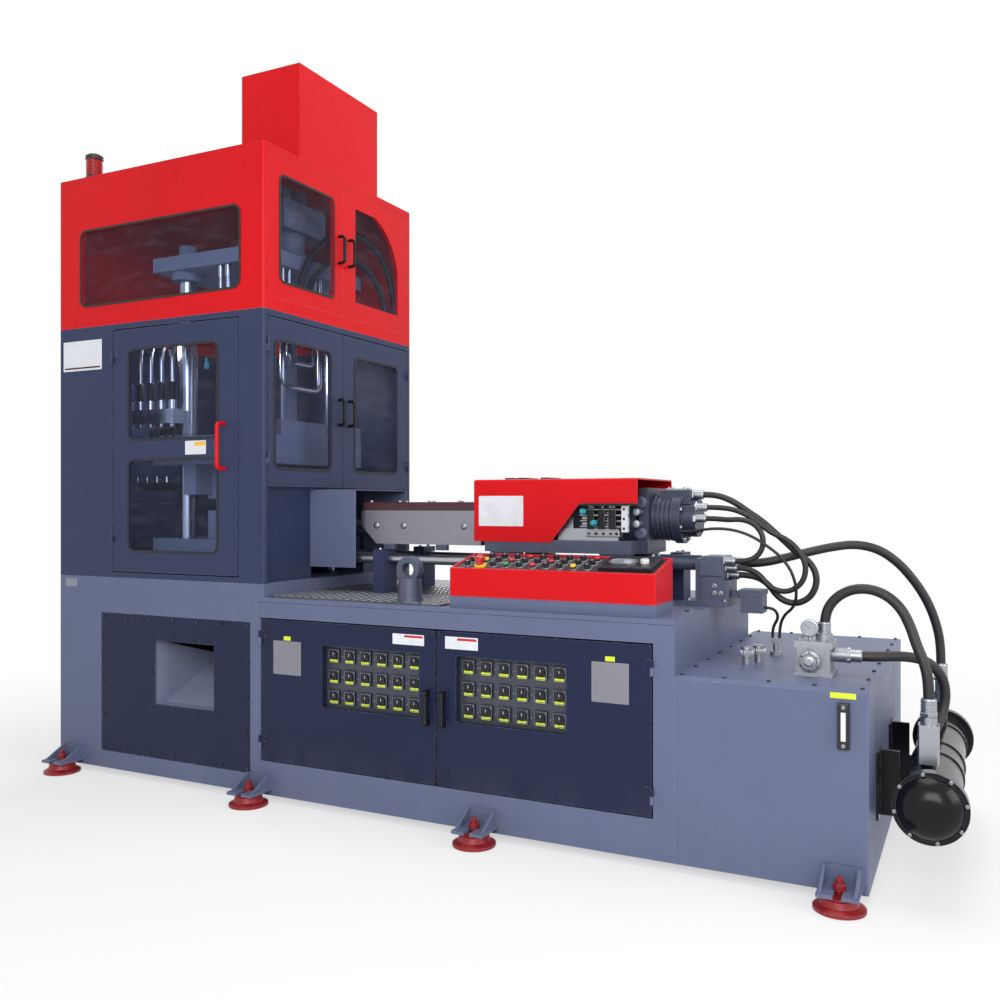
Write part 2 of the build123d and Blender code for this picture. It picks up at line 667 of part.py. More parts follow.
with BuildPart() as stretch_rods:
    rod_span = ROD_PITCH * (ROD_COUNT - 1)
    slab(ROD_X0 - 40, ROD_X0 + rod_span + 40, ROD_Y - 36, ROD_Y + 36, ROD_Z0 - 70, ROD_Z0)
    slab(ROD_X0 - 40, ROD_X0 + rod_span + 40, ROD_Y - 26, ROD_Y + 26, ROD_Z1, ROD_Z1 + 26)
    slab(PLATEN_X0, ROD_X0 + rod_span + 10, ROD_Y + 36, PLATEN_Y0 + 48, MID_PLATEN[1], ROD_Z0)
    for index in range(ROD_COUNT):
        x = ROD_X0 + index * ROD_PITCH
        rod_z(x, ROD_Y, ROD_Z0, ROD_Z1, ROD_R)
        rod_z(x, ROD_Y, ROD_Z0, ROD_Z0 + 46, ROD_R + 9)
        rod_z(x, ROD_Y, ROD_Z1 - 60, ROD_Z1, ROD_R + 6)
save(stretch_rods, "stretch_rods")

# Bent pipes hang from the high platen, straight ones stand between the platens
PIPE_R = 13
PIPE_X = LEFT + 1095
PIPE_BEND = 42
PIPE_LOOPS = ((440, 640, 2030), (392, 688, 1905))
SHELF_Z0 = 1395
SHELF_Z1 = 1435

with BuildPart() as inner_pipes:
    for y0, y1, low_z in PIPE_LOOPS:
        with BuildLine() as bent:
            FilletPolyline(
                (PIPE_X, FRONT + y0, HIGH_PLATEN[0]),
                (PIPE_X, FRONT + y0, low_z),
                (PIPE_X, FRONT + y1, low_z),
                (PIPE_X, FRONT + y1, HIGH_PLATEN[0]),
                radius=PIPE_BEND,
            )
        with BuildSketch(Plane((PIPE_X, FRONT + y0, HIGH_PLATEN[0]), z_dir=(0, 0, -1))):
            Circle(PIPE_R)
        sweep(path=bent.wire())
    for x in GUIDE_PIPE_X:
        rod_z(x, PLATEN_Y0 + 28, MID_PLATEN[1], HIGH_PLATEN[0], 10)
        rod_z(x, PLATEN_Y0 + 28, MID_PLATEN[1], MID_PLATEN[1] + 40, 17)
        rod_z(x, PLATEN_Y0 + 28, HIGH_PLATEN[0] - 60, HIGH_PLATEN[0], 15)
    slab(LEFT + WALL, LEFT + 470, FRONT + 280, FRONT + 420, SHELF_Z0, SHELF_Z1)
    for x in (LEFT + 190, LEFT + 260, LEFT + 330, LEFT + 400):
        rod_z(x, FRONT + 320, SHELF_Z1, SHELF_Z1 + 30, 16)
save(inner_pipes, "inner_pipes")

# Bed: frame rails and posts round the cabinet doors, then rear, end and floor sheets
RAIL = 40
BED_SHEET = 12
CABINET_X0 = LEFT + 1299
CABINET_X1 = LEFT + 3109
CABINET_SEAM = LEFT + 2202
CABINET_Z0 = 183
CABINET_Z1 = 810
CABINET_LEAF = 20
CUT_LEFT = (LEFT + 1632, LEFT + 2121, 445, 712)
CUT_RIGHT = (LEFT + 2295, LEFT + 2772, 447, 713)
CABINET_HINGE_Z = (261, 728)
CABINET_HANDLE_Z = (426, 568)
CABINET_HANDLE_OFFSET = 38
CONTROLLER_COLUMNS = 6
CONTROLLER_ROWS = 3

cabinet_space_x0 = CABINET_X0 - DOOR_GAP
cabinet_space_x1 = CABINET_X1 + DOOR_GAP
cabinet_space_z0 = CABINET_Z0 - DOOR_GAP
cabinet_space_z1 = CABINET_Z1 + DOOR_GAP
plate_bottom = BED_TOP - BED_PLATE
left_axis_x = CABINET_X0 - HINGE_EDGE
right_axis_x = CABINET_X1 + HINGE_EDGE

with BuildPart() as bed_frame:
    slab(BED_LEFT, BED_RIGHT, FRONT, FRONT + RAIL, cabinet_space_z1, plate_bottom)
    slab(BED_LEFT, BED_RIGHT, FRONT, FRONT + RAIL, FRAME_BOTTOM, cabinet_space_z0)
    post_z0 = cabinet_space_z0 + SEAT
    post_z1 = cabinet_space_z1 - SEAT
    slab(BED_LEFT, cabinet_space_x0, FRONT, FRONT + RAIL, post_z0, post_z1)
    slab(cabinet_space_x1, BED_RIGHT, FRONT, FRONT + RAIL, post_z0, post_z1)
    for z in CABINET_HINGE_Z:
        front_hinge(left_axis_x, z, -1, False)
        front_hinge(right_axis_x, z, 1, False)
    behind = FRONT + RAIL + SEAT
    slab(BED_LEFT, BED_RIGHT, TOWER_BACK - BED_SHEET, TOWER_BACK, FRAME_BOTTOM, plate_bottom)
    inner_back = TOWER_BACK - BED_SHEET - SEAT
    slab(BED_RIGHT - BED_SHEET, BED_RIGHT, behind, inner_back, FRAME_BOTTOM, plate_bottom)
    floor_x1 = BED_RIGHT - BED_SHEET - SEAT
    slab(BED_LEFT, floor_x1, behind, inner_back, FRAME_BOTTOM, FRAME_BOTTOM + BED_SHEET)
save(bed_frame, "bed_frame")

with BuildPart() as bed_top_plate:
    slab(BED_LEFT, BED_RIGHT, FRONT, TOWER_BACK, plate_bottom, BED_TOP)
    chamfer(bed_top_plate.edges().filter_by(Axis.X).sort_by(Axis.Y)[:1], 3)
save(bed_top_plate, "bed_top_plate")

# Controllers: 48 mm temperature controllers with a round knob, in rows behind each cut-out
CONTROLLER = 56
CONTROLLER_DEPTH = 10
KNOB_R = 17
KNOB_DEPTH = 5
CONTROLLER_PLATE = 4
PLATE_MARGIN = 32

with BuildPart() as controller_panels:
    plate_back = FRONT + RAIL + SEAT + CONTROLLER_PLATE
    plate_front = FRONT + RAIL + SEAT
    for x0, x1, z0, z1 in (CUT_LEFT, CUT_RIGHT):
        slab(
            x0 - PLATE_MARGIN,
            x1 + PLATE_MARGIN,
            plate_front,
            plate_back,
            cabinet_space_z0 - RAIL,
            cabinet_space_z1 + RAIL,
        )
        pitch_x = (x1 - x0) / CONTROLLER_COLUMNS
        pitch_z = (z1 - z0) / CONTROLLER_ROWS
        for column in range(CONTROLLER_COLUMNS):
            for row in range(CONTROLLER_ROWS):
                x = x0 + pitch_x * (column + 0.5)
                z = z0 + pitch_z * (row + 0.5)
                half = CONTROLLER / 2
                face = plate_front - CONTROLLER_DEPTH
                slab(x - half, x + half, face, plate_front, z - half, z + half)
                rod_y(x, face - KNOB_DEPTH, face, z, KNOB_R)
save(controller_panels, "controller_panels")


def pull_handle(x, z0, z1):
    """A flat oblong grip on two feet, on the front of a cabinet door."""
    reach = 30
    half = 11
    slab(x - half, x + half, FRONT - reach, FRONT - reach + 12, z0, z1)
    for z in (z0, z1 - 24):
        slab(x - half, x + half, FRONT - reach + 12, FRONT, z, z + 24)


def cabinet_door(name, x0, x1, cut, axis_x, towards, handle_x):
    """A cabinet door with the cut-out in front of the controllers, hinge halves and a grip."""
    with BuildPart() as door:
        with BuildSketch(front_plane(FRONT + CABINET_LEAF)):
            flat(x0, x1, CABINET_Z0, CABINET_Z1, 8)
            flat(*cut, 4, Mode.SUBTRACT)
        extrude(amount=CABINET_LEAF)
        for z in CABINET_HINGE_Z:
            front_hinge(axis_x, z, towards, True)
        pull_handle(handle_x, *CABINET_HANDLE_Z)
    save(door, name)


cabinet_door(
    "cabinet_door_left",
    CABINET_X0,
    CABINET_SEAM - DOOR_GAP / 2,
    CUT_LEFT,
    left_axis_x,
    1,
    CABINET_SEAM - CABINET_HANDLE_OFFSET,
)
cabinet_door(
    "cabinet_door_right",
    CABINET_SEAM + DOOR_GAP / 2,
    CABINET_X1,
    CUT_RIGHT,
    right_axis_x,
    -1,
    CABINET_SEAM + CABINET_HANDLE_OFFSET,
)

CHECKER = 6
CHECKER_X0 = TOWER_RIGHT + 10
CHECKER_X1 = LEFT + 2200
CHECKER_INSET = 34

with BuildPart() as checker_plate:
    checker_y0 = FRONT + CHECKER_INSET
    checker_y1 = TOWER_BACK - CHECKER_INSET
    slab(CHECKER_X0, CHECKER_X1, checker_y0, checker_y1, BED_TOP, BED_TOP + CHECKER)
save(checker_plate, "checker_plate")

# Injection unit on its two rails
RAIL_R = 21
RAIL_Z = 1066
RAIL_Y = (CENTRE_Y - 178, CENTRE_Y + 178)
RAIL_X0 = recess_face - 40
HOOD_X0 = LEFT + 2180
HOOD_X1 = LEFT + 2931
HOOD_Y0 = FRONT + 365
HOOD_Y1 = FRONT + 851
HOOD_Z0 = 1160
HOOD_Z1 = 1430
HOOD_SHEET = 6
NOTCH_X0 = LEFT + 2547
NOTCH_X1 = LEFT + 2678
NOTCH_Z = 1324
COVER_LEFT = LEFT + 1537
COVER_Y0 = CENTRE_Y - 178
COVER_Y1 = CENTRE_Y + 178
COVER_LOW = 1137
COVER_HIGH = 1292
COVER_CHAMFER = 85
COVER_LID = 40
BARREL_Z = 1225
BARREL_R = 55
CARRIAGE_X0 = LEFT + 2230
CARRIAGE_X1 = LEFT + 2900
CARRIAGE_Z0 = RAIL_Z + 50
CARRIAGE_Z1 = HOOD_Z0 + 10
FRONT_SUPPORT_X = LEFT + 1640
REAR_SUPPORT_X = LEFT + 3020
SUPPORT = 60

with BuildPart() as guide_rails:
    supports = (
        (FRONT_SUPPORT_X, BED_TOP + CHECKER),
        (REAR_SUPPORT_X - SUPPORT, BED_TOP),
    )
    for y in RAIL_Y:
        for x, base in supports:
            slab(x, x + SUPPORT, y - 55, y + 55, base, RAIL_Z + 45)
        rod_x(RAIL_X0, REAR_SUPPORT_X, y, RAIL_Z, RAIL_R)
save(guide_rails, "guide_rails")

with BuildPart() as barrel_cover:
    with BuildSketch(front_plane(COVER_Y1)):
        with BuildLine():
            Polyline(
                (COVER_LEFT, COVER_HIGH),
                (COVER_LEFT, COVER_LOW + COVER_CHAMFER),
                (COVER_LEFT + COVER_CHAMFER, COVER_LOW),
                (HOOD_X0 - SEAT, COVER_LOW),
                (HOOD_X0 - SEAT, COVER_HIGH),
                close=True,
            )
        make_face()
    extrude(amount=COVER_Y1 - COVER_Y0)
    slab(
        COVER_LEFT + 8,
        HOOD_X0 - SEAT,
        COVER_Y0 + 8,
        COVER_Y1 - 8,
        COVER_HIGH,
        COVER_HIGH + COVER_LID,
    )
    chamfer(barrel_cover.faces().sort_by(Axis.Z)[-1].edges().filter_by(Axis.X), 6)
save(barrel_cover, "barrel_cover")

with BuildPart() as injection_barrel:
    rod_x(LEFT + 1140, COVER_LEFT - SEAT, CENTRE_Y, BARREL_Z, BARREL_R)
    with BuildSketch(front_plane(CENTRE_Y)):
        with BuildLine():
            Polyline(
                (LEFT + 1140, BARREL_Z),
                (LEFT + 1140, BARREL_Z + BARREL_R - 10),
                (LEFT + 1090, BARREL_Z + 20),
                (LEFT + 1060, BARREL_Z + 12),
                (LEFT + 1060, BARREL_Z),
                close=True,
            )
        make_face()
    revolve(axis=Axis((0, CENTRE_Y, BARREL_Z), (1, 0, 0)))
save(injection_barrel, "injection_barrel")

with BuildPart() as injection_carriage:
    bearing_y0 = HOOD_Y0 + HOOD_SHEET + SEAT
    bearing_y1 = HOOD_Y1 - HOOD_SHEET - SEAT
    slab(CARRIAGE_X0, CARRIAGE_X1, bearing_y0, bearing_y1, CARRIAGE_Z0, CARRIAGE_Z1)
    for y in RAIL_Y:
        for x in (CARRIAGE_X0 + 20, CARRIAGE_X1 - 140):
            slab(x, x + 120, y - 46, y + 46, RAIL_Z - 46, CARRIAGE_Z0)
            rod_x(x - 1, x + 121, y, RAIL_Z, RAIL_R + FIT, Mode.SUBTRACT)
    slab(CARRIAGE_X0 + 40, CARRIAGE_X1 - 180, CENTRE_Y - 120, CENTRE_Y + 120, CARRIAGE_Z1, HOOD_Z1 - 60)
    rod_x(CARRIAGE_X1 - 180, CARRIAGE_X1 - 20, CENTRE_Y, BARREL_Z + 30, 110)
save(injection_carriage, "injection_carriage")

# Hood: a folded sheet open below and at its rear end, with a slanted cut-away at the front
with BuildPart() as injection_hood:
    with BuildSketch(side_plane(HOOD_X0)):
        flat(HOOD_Y0, HOOD_Y1, HOOD_Z0, HOOD_Z1)
    extrude(amount=HOOD_X1 - HOOD_X0)
    top_edges = injection_hood.edges().filter_by(Axis.X).sort_by(Axis.Z)[-2:]
    fillet(top_edges, 14)
    slab(
        HOOD_X0 + HOOD_SHEET,
        HOOD_X1 + 1,
        HOOD_Y0 + HOOD_SHEET,
        HOOD_Y1 - HOOD_SHEET,
        HOOD_Z0 - 1,
        HOOD_Z1 - HOOD_SHEET,
        Mode.SUBTRACT,
    )
    with BuildSketch(front_plane(HOOD_Y0 + HOOD_SHEET + 1)):
        with BuildLine():
            Polyline(
                (NOTCH_X0, HOOD_Z0 - 1),
                (NOTCH_X1, NOTCH_Z),
                (HOOD_X1 + 1, NOTCH_Z),
                (HOOD_X1 + 1, HOOD_Z0 - 1),
                close=True,
            )
        make_face()
    extrude(amount=HOOD_SHEET + 2, mode=Mode.SUBTRACT)
save(injection_hood, "injection_hood")

with BuildPart() as valve_manifold:
    block_x0 = CARRIAGE_X1 - 330
    block_y0 = HOOD_Y0 + 30
    slab(block_x0, CARRIAGE_X1 - 60, block_y0, CENTRE_Y - 130, CARRIAGE_Z1, HOOD_Z0 + 60)
    for x in (block_x0 + 40, block_x0 + 130, block_x0 + 220):
        slab(x - 24, x + 24, block_y0 + 12, CENTRE_Y - 140, HOOD_Z0 + 60, HOOD_Z0 + 130)
        rod_z(x, block_y0 + 45, HOOD_Z0 + 130, HOOD_Z0 + 160, 16)
save(valve_manifold, "valve_manifold")

MOTOR_Z = 1265
MOTOR_X0 = LEFT + 2910

with BuildPart() as hydraulic_motor:
    slab(CARRIAGE_X1, MOTOR_X0 + 30, CENTRE_Y - 125, CENTRE_Y + 125, MOTOR_Z - 150, MOTOR_Z + 125)
    rod_x(MOTOR_X0 + 30, MOTOR_X0 + 120, CENTRE_Y, MOTOR_Z, 92)
    rod_x(MOTOR_X0 + 120, MOTOR_X0 + 156, CENTRE_Y, MOTOR_Z, 108)
    rod_x(MOTOR_X0 + 156, MOTOR_X0 + 214, CENTRE_Y, MOTOR_Z, 80)
    slab(
        MOTOR_X0 + 60,
        MOTOR_X0 + 190,
        CENTRE_Y - 60,
        CENTRE_Y + 60,
        MOTOR_Z + 60,
        MOTOR_Z + 115,
    )
save(hydraulic_motor, "hydraulic_motor")

# Rear bracket on the end of the bed, with the carriage cylinder and a junction box
REAR_X0 = LEFT + 3090
REAR_X1 = LEFT + 3268
REAR_HALF = 110
REAR_PLATE = 24
REAR_TOP = 1100
CARRIAGE_ROD_Z = 1077
JUNCTION_X0 = LEFT + 3309
JUNCTION_X1 = LEFT + 3398

with BuildPart() as rear_bracket:
    base_z = BED_TOP + REAR_PLATE
    slab(REAR_X0, REAR_X1, CENTRE_Y - REAR_HALF, CENTRE_Y + REAR_HALF, BED_TOP, base_z)
    slab(REAR_X0 + 40, REAR_X0 + 70, CENTRE_Y - 90, CENTRE_Y + 90, base_z, REAR_TOP)
    slab(REAR_X0 + 70, REAR_X1, CENTRE_Y - 100, CENTRE_Y + 60, base_z, base_z + 84)
    slab(REAR_X0 + 70, REAR_X1 - 20, CENTRE_Y - 100, CENTRE_Y + 50, base_z + 84, REAR_TOP + 10)
    chamfer(rear_bracket.edges().filter_by(Axis.Z).group_by(Axis.X)[-1], 8)
    slab(REAR_X1, JUNCTION_X0, CENTRE_Y - 40, CENTRE_Y, base_z + 10, base_z + 40)
    box_z0 = BED_TOP - 21
    box_z1 = BED_TOP + 73
    slab(JUNCTION_X0, JUNCTION_X1, CENTRE_Y - 70, CENTRE_Y + 20, box_z0, box_z1 - 20)
    slab(JUNCTION_X0 - 4, JUNCTION_X1 + 4, CENTRE_Y - 74, CENTRE_Y + 24, box_z1 - 20, box_z1)
    rod_x(CARRIAGE_X1 + 10, REAR_X0 + 40, CENTRE_Y, CARRIAGE_ROD_Z, 32)
    rod_x(CARRIAGE_X1 - 140, CARRIAGE_X1 + 10, CENTRE_Y, CARRIAGE_ROD_Z, 14)
    slab(
        CARRIAGE_X1 - 170,
        CARRIAGE_X1 - 140,
        CENTRE_Y - 30,
        CENTRE_Y + 30,
        CARRIAGE_ROD_Z - 30,
        CARRIAGE_Z0,
    )
save(rear_bracket, "rear_bracket")

# Control console at the front edge of the bed
CONSOLE_X0 = LEFT + 2247
CONSOLE_X1 = LEFT + 3115
CONSOLE_Y0 = FRONT + 30
CONSOLE_Y1 = FRONT + 246
CONSOLE_Z0 = 951
CONSOLE_Z1 = 1064
CONSOLE_Z2 = 1114
CONSOLE_POCKET = 8
CONSOLE_RIM = 12
PANEL_THICKNESS = 4
SCREEN_LENGTH = 215
BUTTON_COLUMNS = 10
BUTTON_ROWS = 3
BUTTON_PITCH = 58
BUTTON_ROW_PITCH = 56
BUTTON_R = 12
BUTTON_HEIGHT = 16

console_depth = CONSOLE_Y1 - CONSOLE_Y0
console_rise = CONSOLE_Z2 - CONSOLE_Z1
slope_length = math.hypot(console_depth, console_rise)
slope = Plane(
    origin=(CONSOLE_X0, CONSOLE_Y0, CONSOLE_Z1),
    x_dir=(1, 0, 0),
    z_dir=(0, -console_rise, console_depth),
)
console_length = CONSOLE_X1 - CONSOLE_X0

with BuildPart() as control_console:
    with BuildSketch(side_plane(CONSOLE_X0)):
        with BuildLine():
            Polyline(
                (CONSOLE_Y0, CONSOLE_Z0),
                (CONSOLE_Y1, CONSOLE_Z0),
                (CONSOLE_Y1, CONSOLE_Z2),
                (CONSOLE_Y0, CONSOLE_Z1),
                close=True,
            )
        make_face()
    extrude(amount=console_length)
    with BuildSketch(slope.offset(-CONSOLE_POCKET)):
        flat(
            CONSOLE_RIM,
            console_length - CONSOLE_RIM,
            CONSOLE_RIM,
            slope_length - CONSOLE_RIM,
        )
    extrude(amount=CONSOLE_POCKET + 5, mode=Mode.SUBTRACT)
    fillet(control_console.edges().filter_by(Axis.Z).group_by(Axis.Y)[0], 6)
    slab(CONSOLE_X0, CONSOLE_X1, CONSOLE_Y0 + 4, CONSOLE_Y1, BED_TOP, CONSOLE_Z0)
save(control_console, "control_console")

with BuildPart() as console_panel:
    low = CONSOLE_RIM + SEAT
    screen_x1 = console_length - CONSOLE_RIM - 14
    with BuildSketch(slope.offset(-CONSOLE_POCKET)):
        flat(low, console_length - low, low, slope_length - low)
    extrude(amount=PANEL_THICKNESS)
    with BuildSketch(slope.offset(-CONSOLE_POCKET + PANEL_THICKNESS)):
        flat(screen_x1 - SCREEN_LENGTH, screen_x1, CONSOLE_RIM + 24, slope_length - CONSOLE_RIM - 20, 6)
    extrude(amount=14)
save(console_panel, "console_panel")

with BuildPart() as console_buttons:
    with BuildSketch(slope.offset(-CONSOLE_POCKET + PANEL_THICKNESS)):
        for column in range(BUTTON_COLUMNS):
            for row in range(BUTTON_ROWS):
                if column == 1 and row == 0:
                    continue
                with Locations((60 + column * BUTTON_PITCH, 46 + row * BUTTON_ROW_PITCH)):
                    Circle(BUTTON_R)
    extrude(amount=BUTTON_HEIGHT)
    with BuildSketch(slope.offset(-CONSOLE_POCKET + PANEL_THICKNESS)):
        with Locations((60 + BUTTON_PITCH, 46)):
            Circle(26)
    extrude(amount=6)
    with BuildSketch(slope.offset(-CONSOLE_POCKET + PANEL_THICKNESS + 6)):
        with Locations((60 + BUTTON_PITCH, 46)):
            Circle(14)
    extrude(amount=22)
    with BuildSketch(slope.offset(-CONSOLE_POCKET + PANEL_THICKNESS + 28)):
        with Locations((60 + BUTTON_PITCH, 46)):
            Circle(20)
    extrude(amount=14)
save(console_buttons, "console_buttons")

# Eye post on the bed
EYE_X = LEFT + 2016
EYE_Y = FRONT + 100
EYE_Z = 1047
EYE_R = 54
EYE_BORE = 29
EYE_THICKNESS = 44

with BuildPart() as eye_post:
    with BuildSketch(front_plane(EYE_Y)):
        with BuildLine():
            Polyline(
                (EYE_X, BED_TOP + CHECKER),
                (EYE_X + 56, BED_TOP + CHECKER),
                (EYE_X + 52, BED_TOP + CHECKER + 20),
                (EYE_X + 46, EYE_Z - EYE_R + 16),
                (EYE_X + 30, EYE_Z - EYE_BORE - 8),
                (EYE_X, EYE_Z - EYE_BORE - 8),
                close=True,
            )
        make_face()
    revolve(axis=Axis((EYE_X, EYE_Y, 0), (0, 0, 1)))
    rod_y(EYE_X, EYE_Y - EYE_THICKNESS / 2, EYE_Y + EYE_THICKNESS / 2, EYE_Z, EYE_R)
    rod_y(EYE_X, EYE_Y - 80, EYE_Y + 80, EYE_Z, EYE_BORE, Mode.SUBTRACT)
save(eye_post, "eye_post")

# Oil tank, its cover and what stands on it
TANK_SHEET = 8
COVER_LIP = 10

with BuildPart() as oil_tank:
    tank_top = TANK_TOP - TANK_COVER
    slab(BED_RIGHT, TANK_RIGHT, FRONT, TANK_BACK, FRAME_BOTTOM, tank_top)
    fillet(oil_tank.edges().filter_by(Axis.Z).group_by(Axis.X)[-1], 8)
    slab(
        BED_RIGHT + TANK_SHEET,
        TANK_RIGHT - TANK_SHEET,
        FRONT + TANK_SHEET,
        TANK_BACK - TANK_SHEET,
        FRAME_BOTTOM + TANK_SHEET,
        tank_top,
        Mode.SUBTRACT,
    )
save(oil_tank, "oil_tank")

with BuildPart() as tank_cover:
    slab(BED_RIGHT, TANK_RIGHT, FRONT, TANK_BACK, TANK_TOP - TANK_COVER, TANK_TOP)
    chamfer(tank_cover.edges().filter_by(Axis.X).sort_by(Axis.Z)[-2:], COVER_LIP)
save(tank_cover, "tank_cover")

GAUGE_X0 = LEFT + 3756
GAUGE_X1 = LEFT + 3794
GAUGE_Z0 = 508
GAUGE_Z1 = 660

with BuildPart() as level_gauge:
    slab(GAUGE_X0, GAUGE_X1, FRONT - 22, FRONT, GAUGE_Z0, GAUGE_Z1)
    fillet(level_gauge.faces().sort_by(Axis.Y)[0].edges(), 4)
save(level_gauge, "level_gauge")

FILTER_X0 = LEFT + 3588
FILTER_X1 = LEFT + 3702
FILTER_Y0 = FRONT + 204
FILTER_Y1 = FRONT + 318
FILTER_Z1 = 830
DIAL_R = 28
BREATHERS = ((LEFT + 3374, FRONT + 365), (LEFT + 3406, FRONT + 432))
CABLE_PORT = (LEFT + 3432, FRONT + 641)

with BuildPart() as tank_fittings:
    slab(FILTER_X0 - 10, FILTER_X1 + 10, FILTER_Y0 - 8, FILTER_Y1 + 8, TANK_TOP, TANK_TOP + 14)
    slab(FILTER_X0, FILTER_X1, FILTER_Y0, FILTER_Y1, TANK_TOP + 14, FILTER_Z1 - 24)
    slab(FILTER_X0 - 8, FILTER_X1 + 8, FILTER_Y0 - 4, FILTER_Y1 + 4, FILTER_Z1 - 24, FILTER_Z1)
    filter_x = (FILTER_X0 + FILTER_X1) / 2
    rod_y(filter_x - 10, FILTER_Y0 - 22, FILTER_Y0, TANK_TOP + 56, 38)
    rod_y(filter_x - 10, FILTER_Y0 - 34, FILTER_Y0 - 22, TANK_TOP + 56, 24)
    rod_z(filter_x + 28, FILTER_Y1 - 40, FILTER_Z1, FILTER_Z1 + 22, 30)
    rod_x(FILTER_X1, FILTER_X1 + 60, FILTER_Y1 - 40, TANK_TOP + 72, 26)
    rod_z(filter_x - 14, FILTER_Y0 + 18, FILTER_Z1, FILTER_Z1 + 20, 8)
    rod_y(filter_x - 14, FILTER_Y0 + 6, FILTER_Y0 + 30, FILTER_Z1 + 20 + DIAL_R, DIAL_R)
    for x, y in BREATHERS:
        rod_z(x, y, TANK_TOP, TANK_TOP + 30, 17)
        rod_z(x, y, TANK_TOP + 30, TANK_TOP + 62, 24)
    rod_z(*CABLE_PORT, TANK_TOP, TANK_TOP + 16, 24)
    rod_z(*CABLE_PORT, TANK_TOP + 16, TANK_TOP + 60, 12)
    slab(
        CABLE_PORT[0] - 22,
        CABLE_PORT[0] + 22,
        CABLE_PORT[1] - 12,
        CABLE_PORT[1] + 12,
        TANK_TOP + 50,
        TANK_TOP + 70,
    )
save(tank_fittings, "tank_fittings")

# Oil cooler along the tank's end: a shell with two flanged domes, on two saddles
COOLER_X = TANK_RIGHT + COOLER_GAP + COOLER_FLANGE_R
COOLER_Y0 = FRONT + 50
COOLER_Y1 = FRONT + 1165
COOLER_FLANGE = 22
DOME_HEIGHT = 52
DOME_STEP = 14
DOME_MID_SHARE = 0.6
DOME_FLAT = 14
BAND = 30
BAND_PROUD = 5
SADDLE_Y = (FRONT + 305, FRONT + 798)
SADDLE = 14
NEAR_PORT_Y = FRONT + 210
FAR_PORT_Y = FRONT + 924
SIDE_PORT_Z = 500
BLOCK_X = COOLER_X - 12
BLOCK_HALF = 33
BLOCK_Z0 = 440
BLOCK_Z1 = 572

with BuildPart() as oil_cooler:
    dome_edge = COOLER_X + COOLER_FLANGE_R - DOME_STEP
    dome_mid = COOLER_X + COOLER_FLANGE_R * DOME_MID_SHARE
    flange_x = COOLER_X + COOLER_FLANGE_R
    shell_x = COOLER_X + COOLER_SHELL_R
    near_dome = COOLER_Y0 - DOME_HEIGHT
    far_dome = COOLER_Y1 + DOME_HEIGHT
    near_flange = COOLER_Y0 + 2 * COOLER_FLANGE
    far_flange = COOLER_Y1 - 2 * COOLER_FLANGE
    with BuildSketch(Plane.XY.offset(COOLER_Z)):
        with BuildLine():
            Line((COOLER_X, near_dome), (COOLER_X + DOME_FLAT, near_dome))
            ThreePointArc(
                (COOLER_X + DOME_FLAT, near_dome),
                (dome_mid, COOLER_Y0 - DOME_HEIGHT * 0.75),
                (dome_edge, COOLER_Y0),
            )
            Polyline(
                (dome_edge, COOLER_Y0),
                (flange_x, COOLER_Y0),
                (flange_x, near_flange),
                (shell_x, near_flange),
                (shell_x, far_flange),
                (flange_x, far_flange),
                (flange_x, COOLER_Y1),
                (dome_edge, COOLER_Y1),
            )
            ThreePointArc(
                (dome_edge, COOLER_Y1),
                (dome_mid, COOLER_Y1 + DOME_HEIGHT * 0.75),
                (COOLER_X + DOME_FLAT, far_dome),
            )
            Polyline((COOLER_X + DOME_FLAT, far_dome), (COOLER_X, far_dome), (COOLER_X, near_dome))
        make_face()
    revolve(axis=Axis((COOLER_X, 0, COOLER_Z), (0, 1, 0)))
    for y in (FRONT + 450, FRONT + 620, FRONT + 960):
        rod_y(COOLER_X, y, y + BAND, COOLER_Z, COOLER_SHELL_R + BAND_PROUD)
    rod_z(BLOCK_X, NEAR_PORT_Y, COOLER_Z, BLOCK_Z0, 24)
    rod_z(COOLER_X, FAR_PORT_Y, COOLER_Z, 520, 24)
    for y in SADDLE_Y:
        slab(TANK_RIGHT, TANK_RIGHT + 8, y - 60, y + 60, 207, 447)
        slab(TANK_RIGHT + 8, COOLER_X + 30, y - SADDLE / 2, y + SADDLE / 2, 215, 318)
        slab(TANK_RIGHT + 8, COOLER_X - 110, y - SADDLE / 2, y + SADDLE / 2, 318, 447)
save(oil_cooler, "oil_cooler")

# Hose fittings: a ported block and a pipe on the cooler, and ferrules on the machine's side
FERRULE = 45
MOTOR_TOP_PORT = (MOTOR_X0 + 190, CENTRE_Y - 8, MOTOR_Z + 97)
MOTOR_HIGH_PORT = (MOTOR_X0 + 214, CENTRE_Y - 44, MOTOR_Z + 44)
MOTOR_MID_PORT = (MOTOR_X0 + 214, CENTRE_Y - 62, MOTOR_Z - 2)
REAR_FACE = REAR_X1 - 20
RETURN_PORT = (REAR_FACE, CENTRE_Y + 24, 1078)
LOOP_A_PORT = (REAR_FACE, CENTRE_Y - 8, 1032)
LOOP_B_PORT = (REAR_FACE, CENTRE_Y - 46, 1062)
LOOP_C_PORT = (REAR_FACE, CENTRE_Y - 78, 1092)
BIG_HOSE = 36
LOOP_A = 26
LOOP_B = 22
FERRULE_WALL = 3

machine_ports = (
    (MOTOR_TOP_PORT, LOOP_A),
    (MOTOR_HIGH_PORT, LOOP_B),
    (MOTOR_MID_PORT, LOOP_B),
    (RETURN_PORT, BIG_HOSE),
    (LOOP_A_PORT, LOOP_A),
    (LOOP_B_PORT, LOOP_B),
    (LOOP_C_PORT, LOOP_B),
)

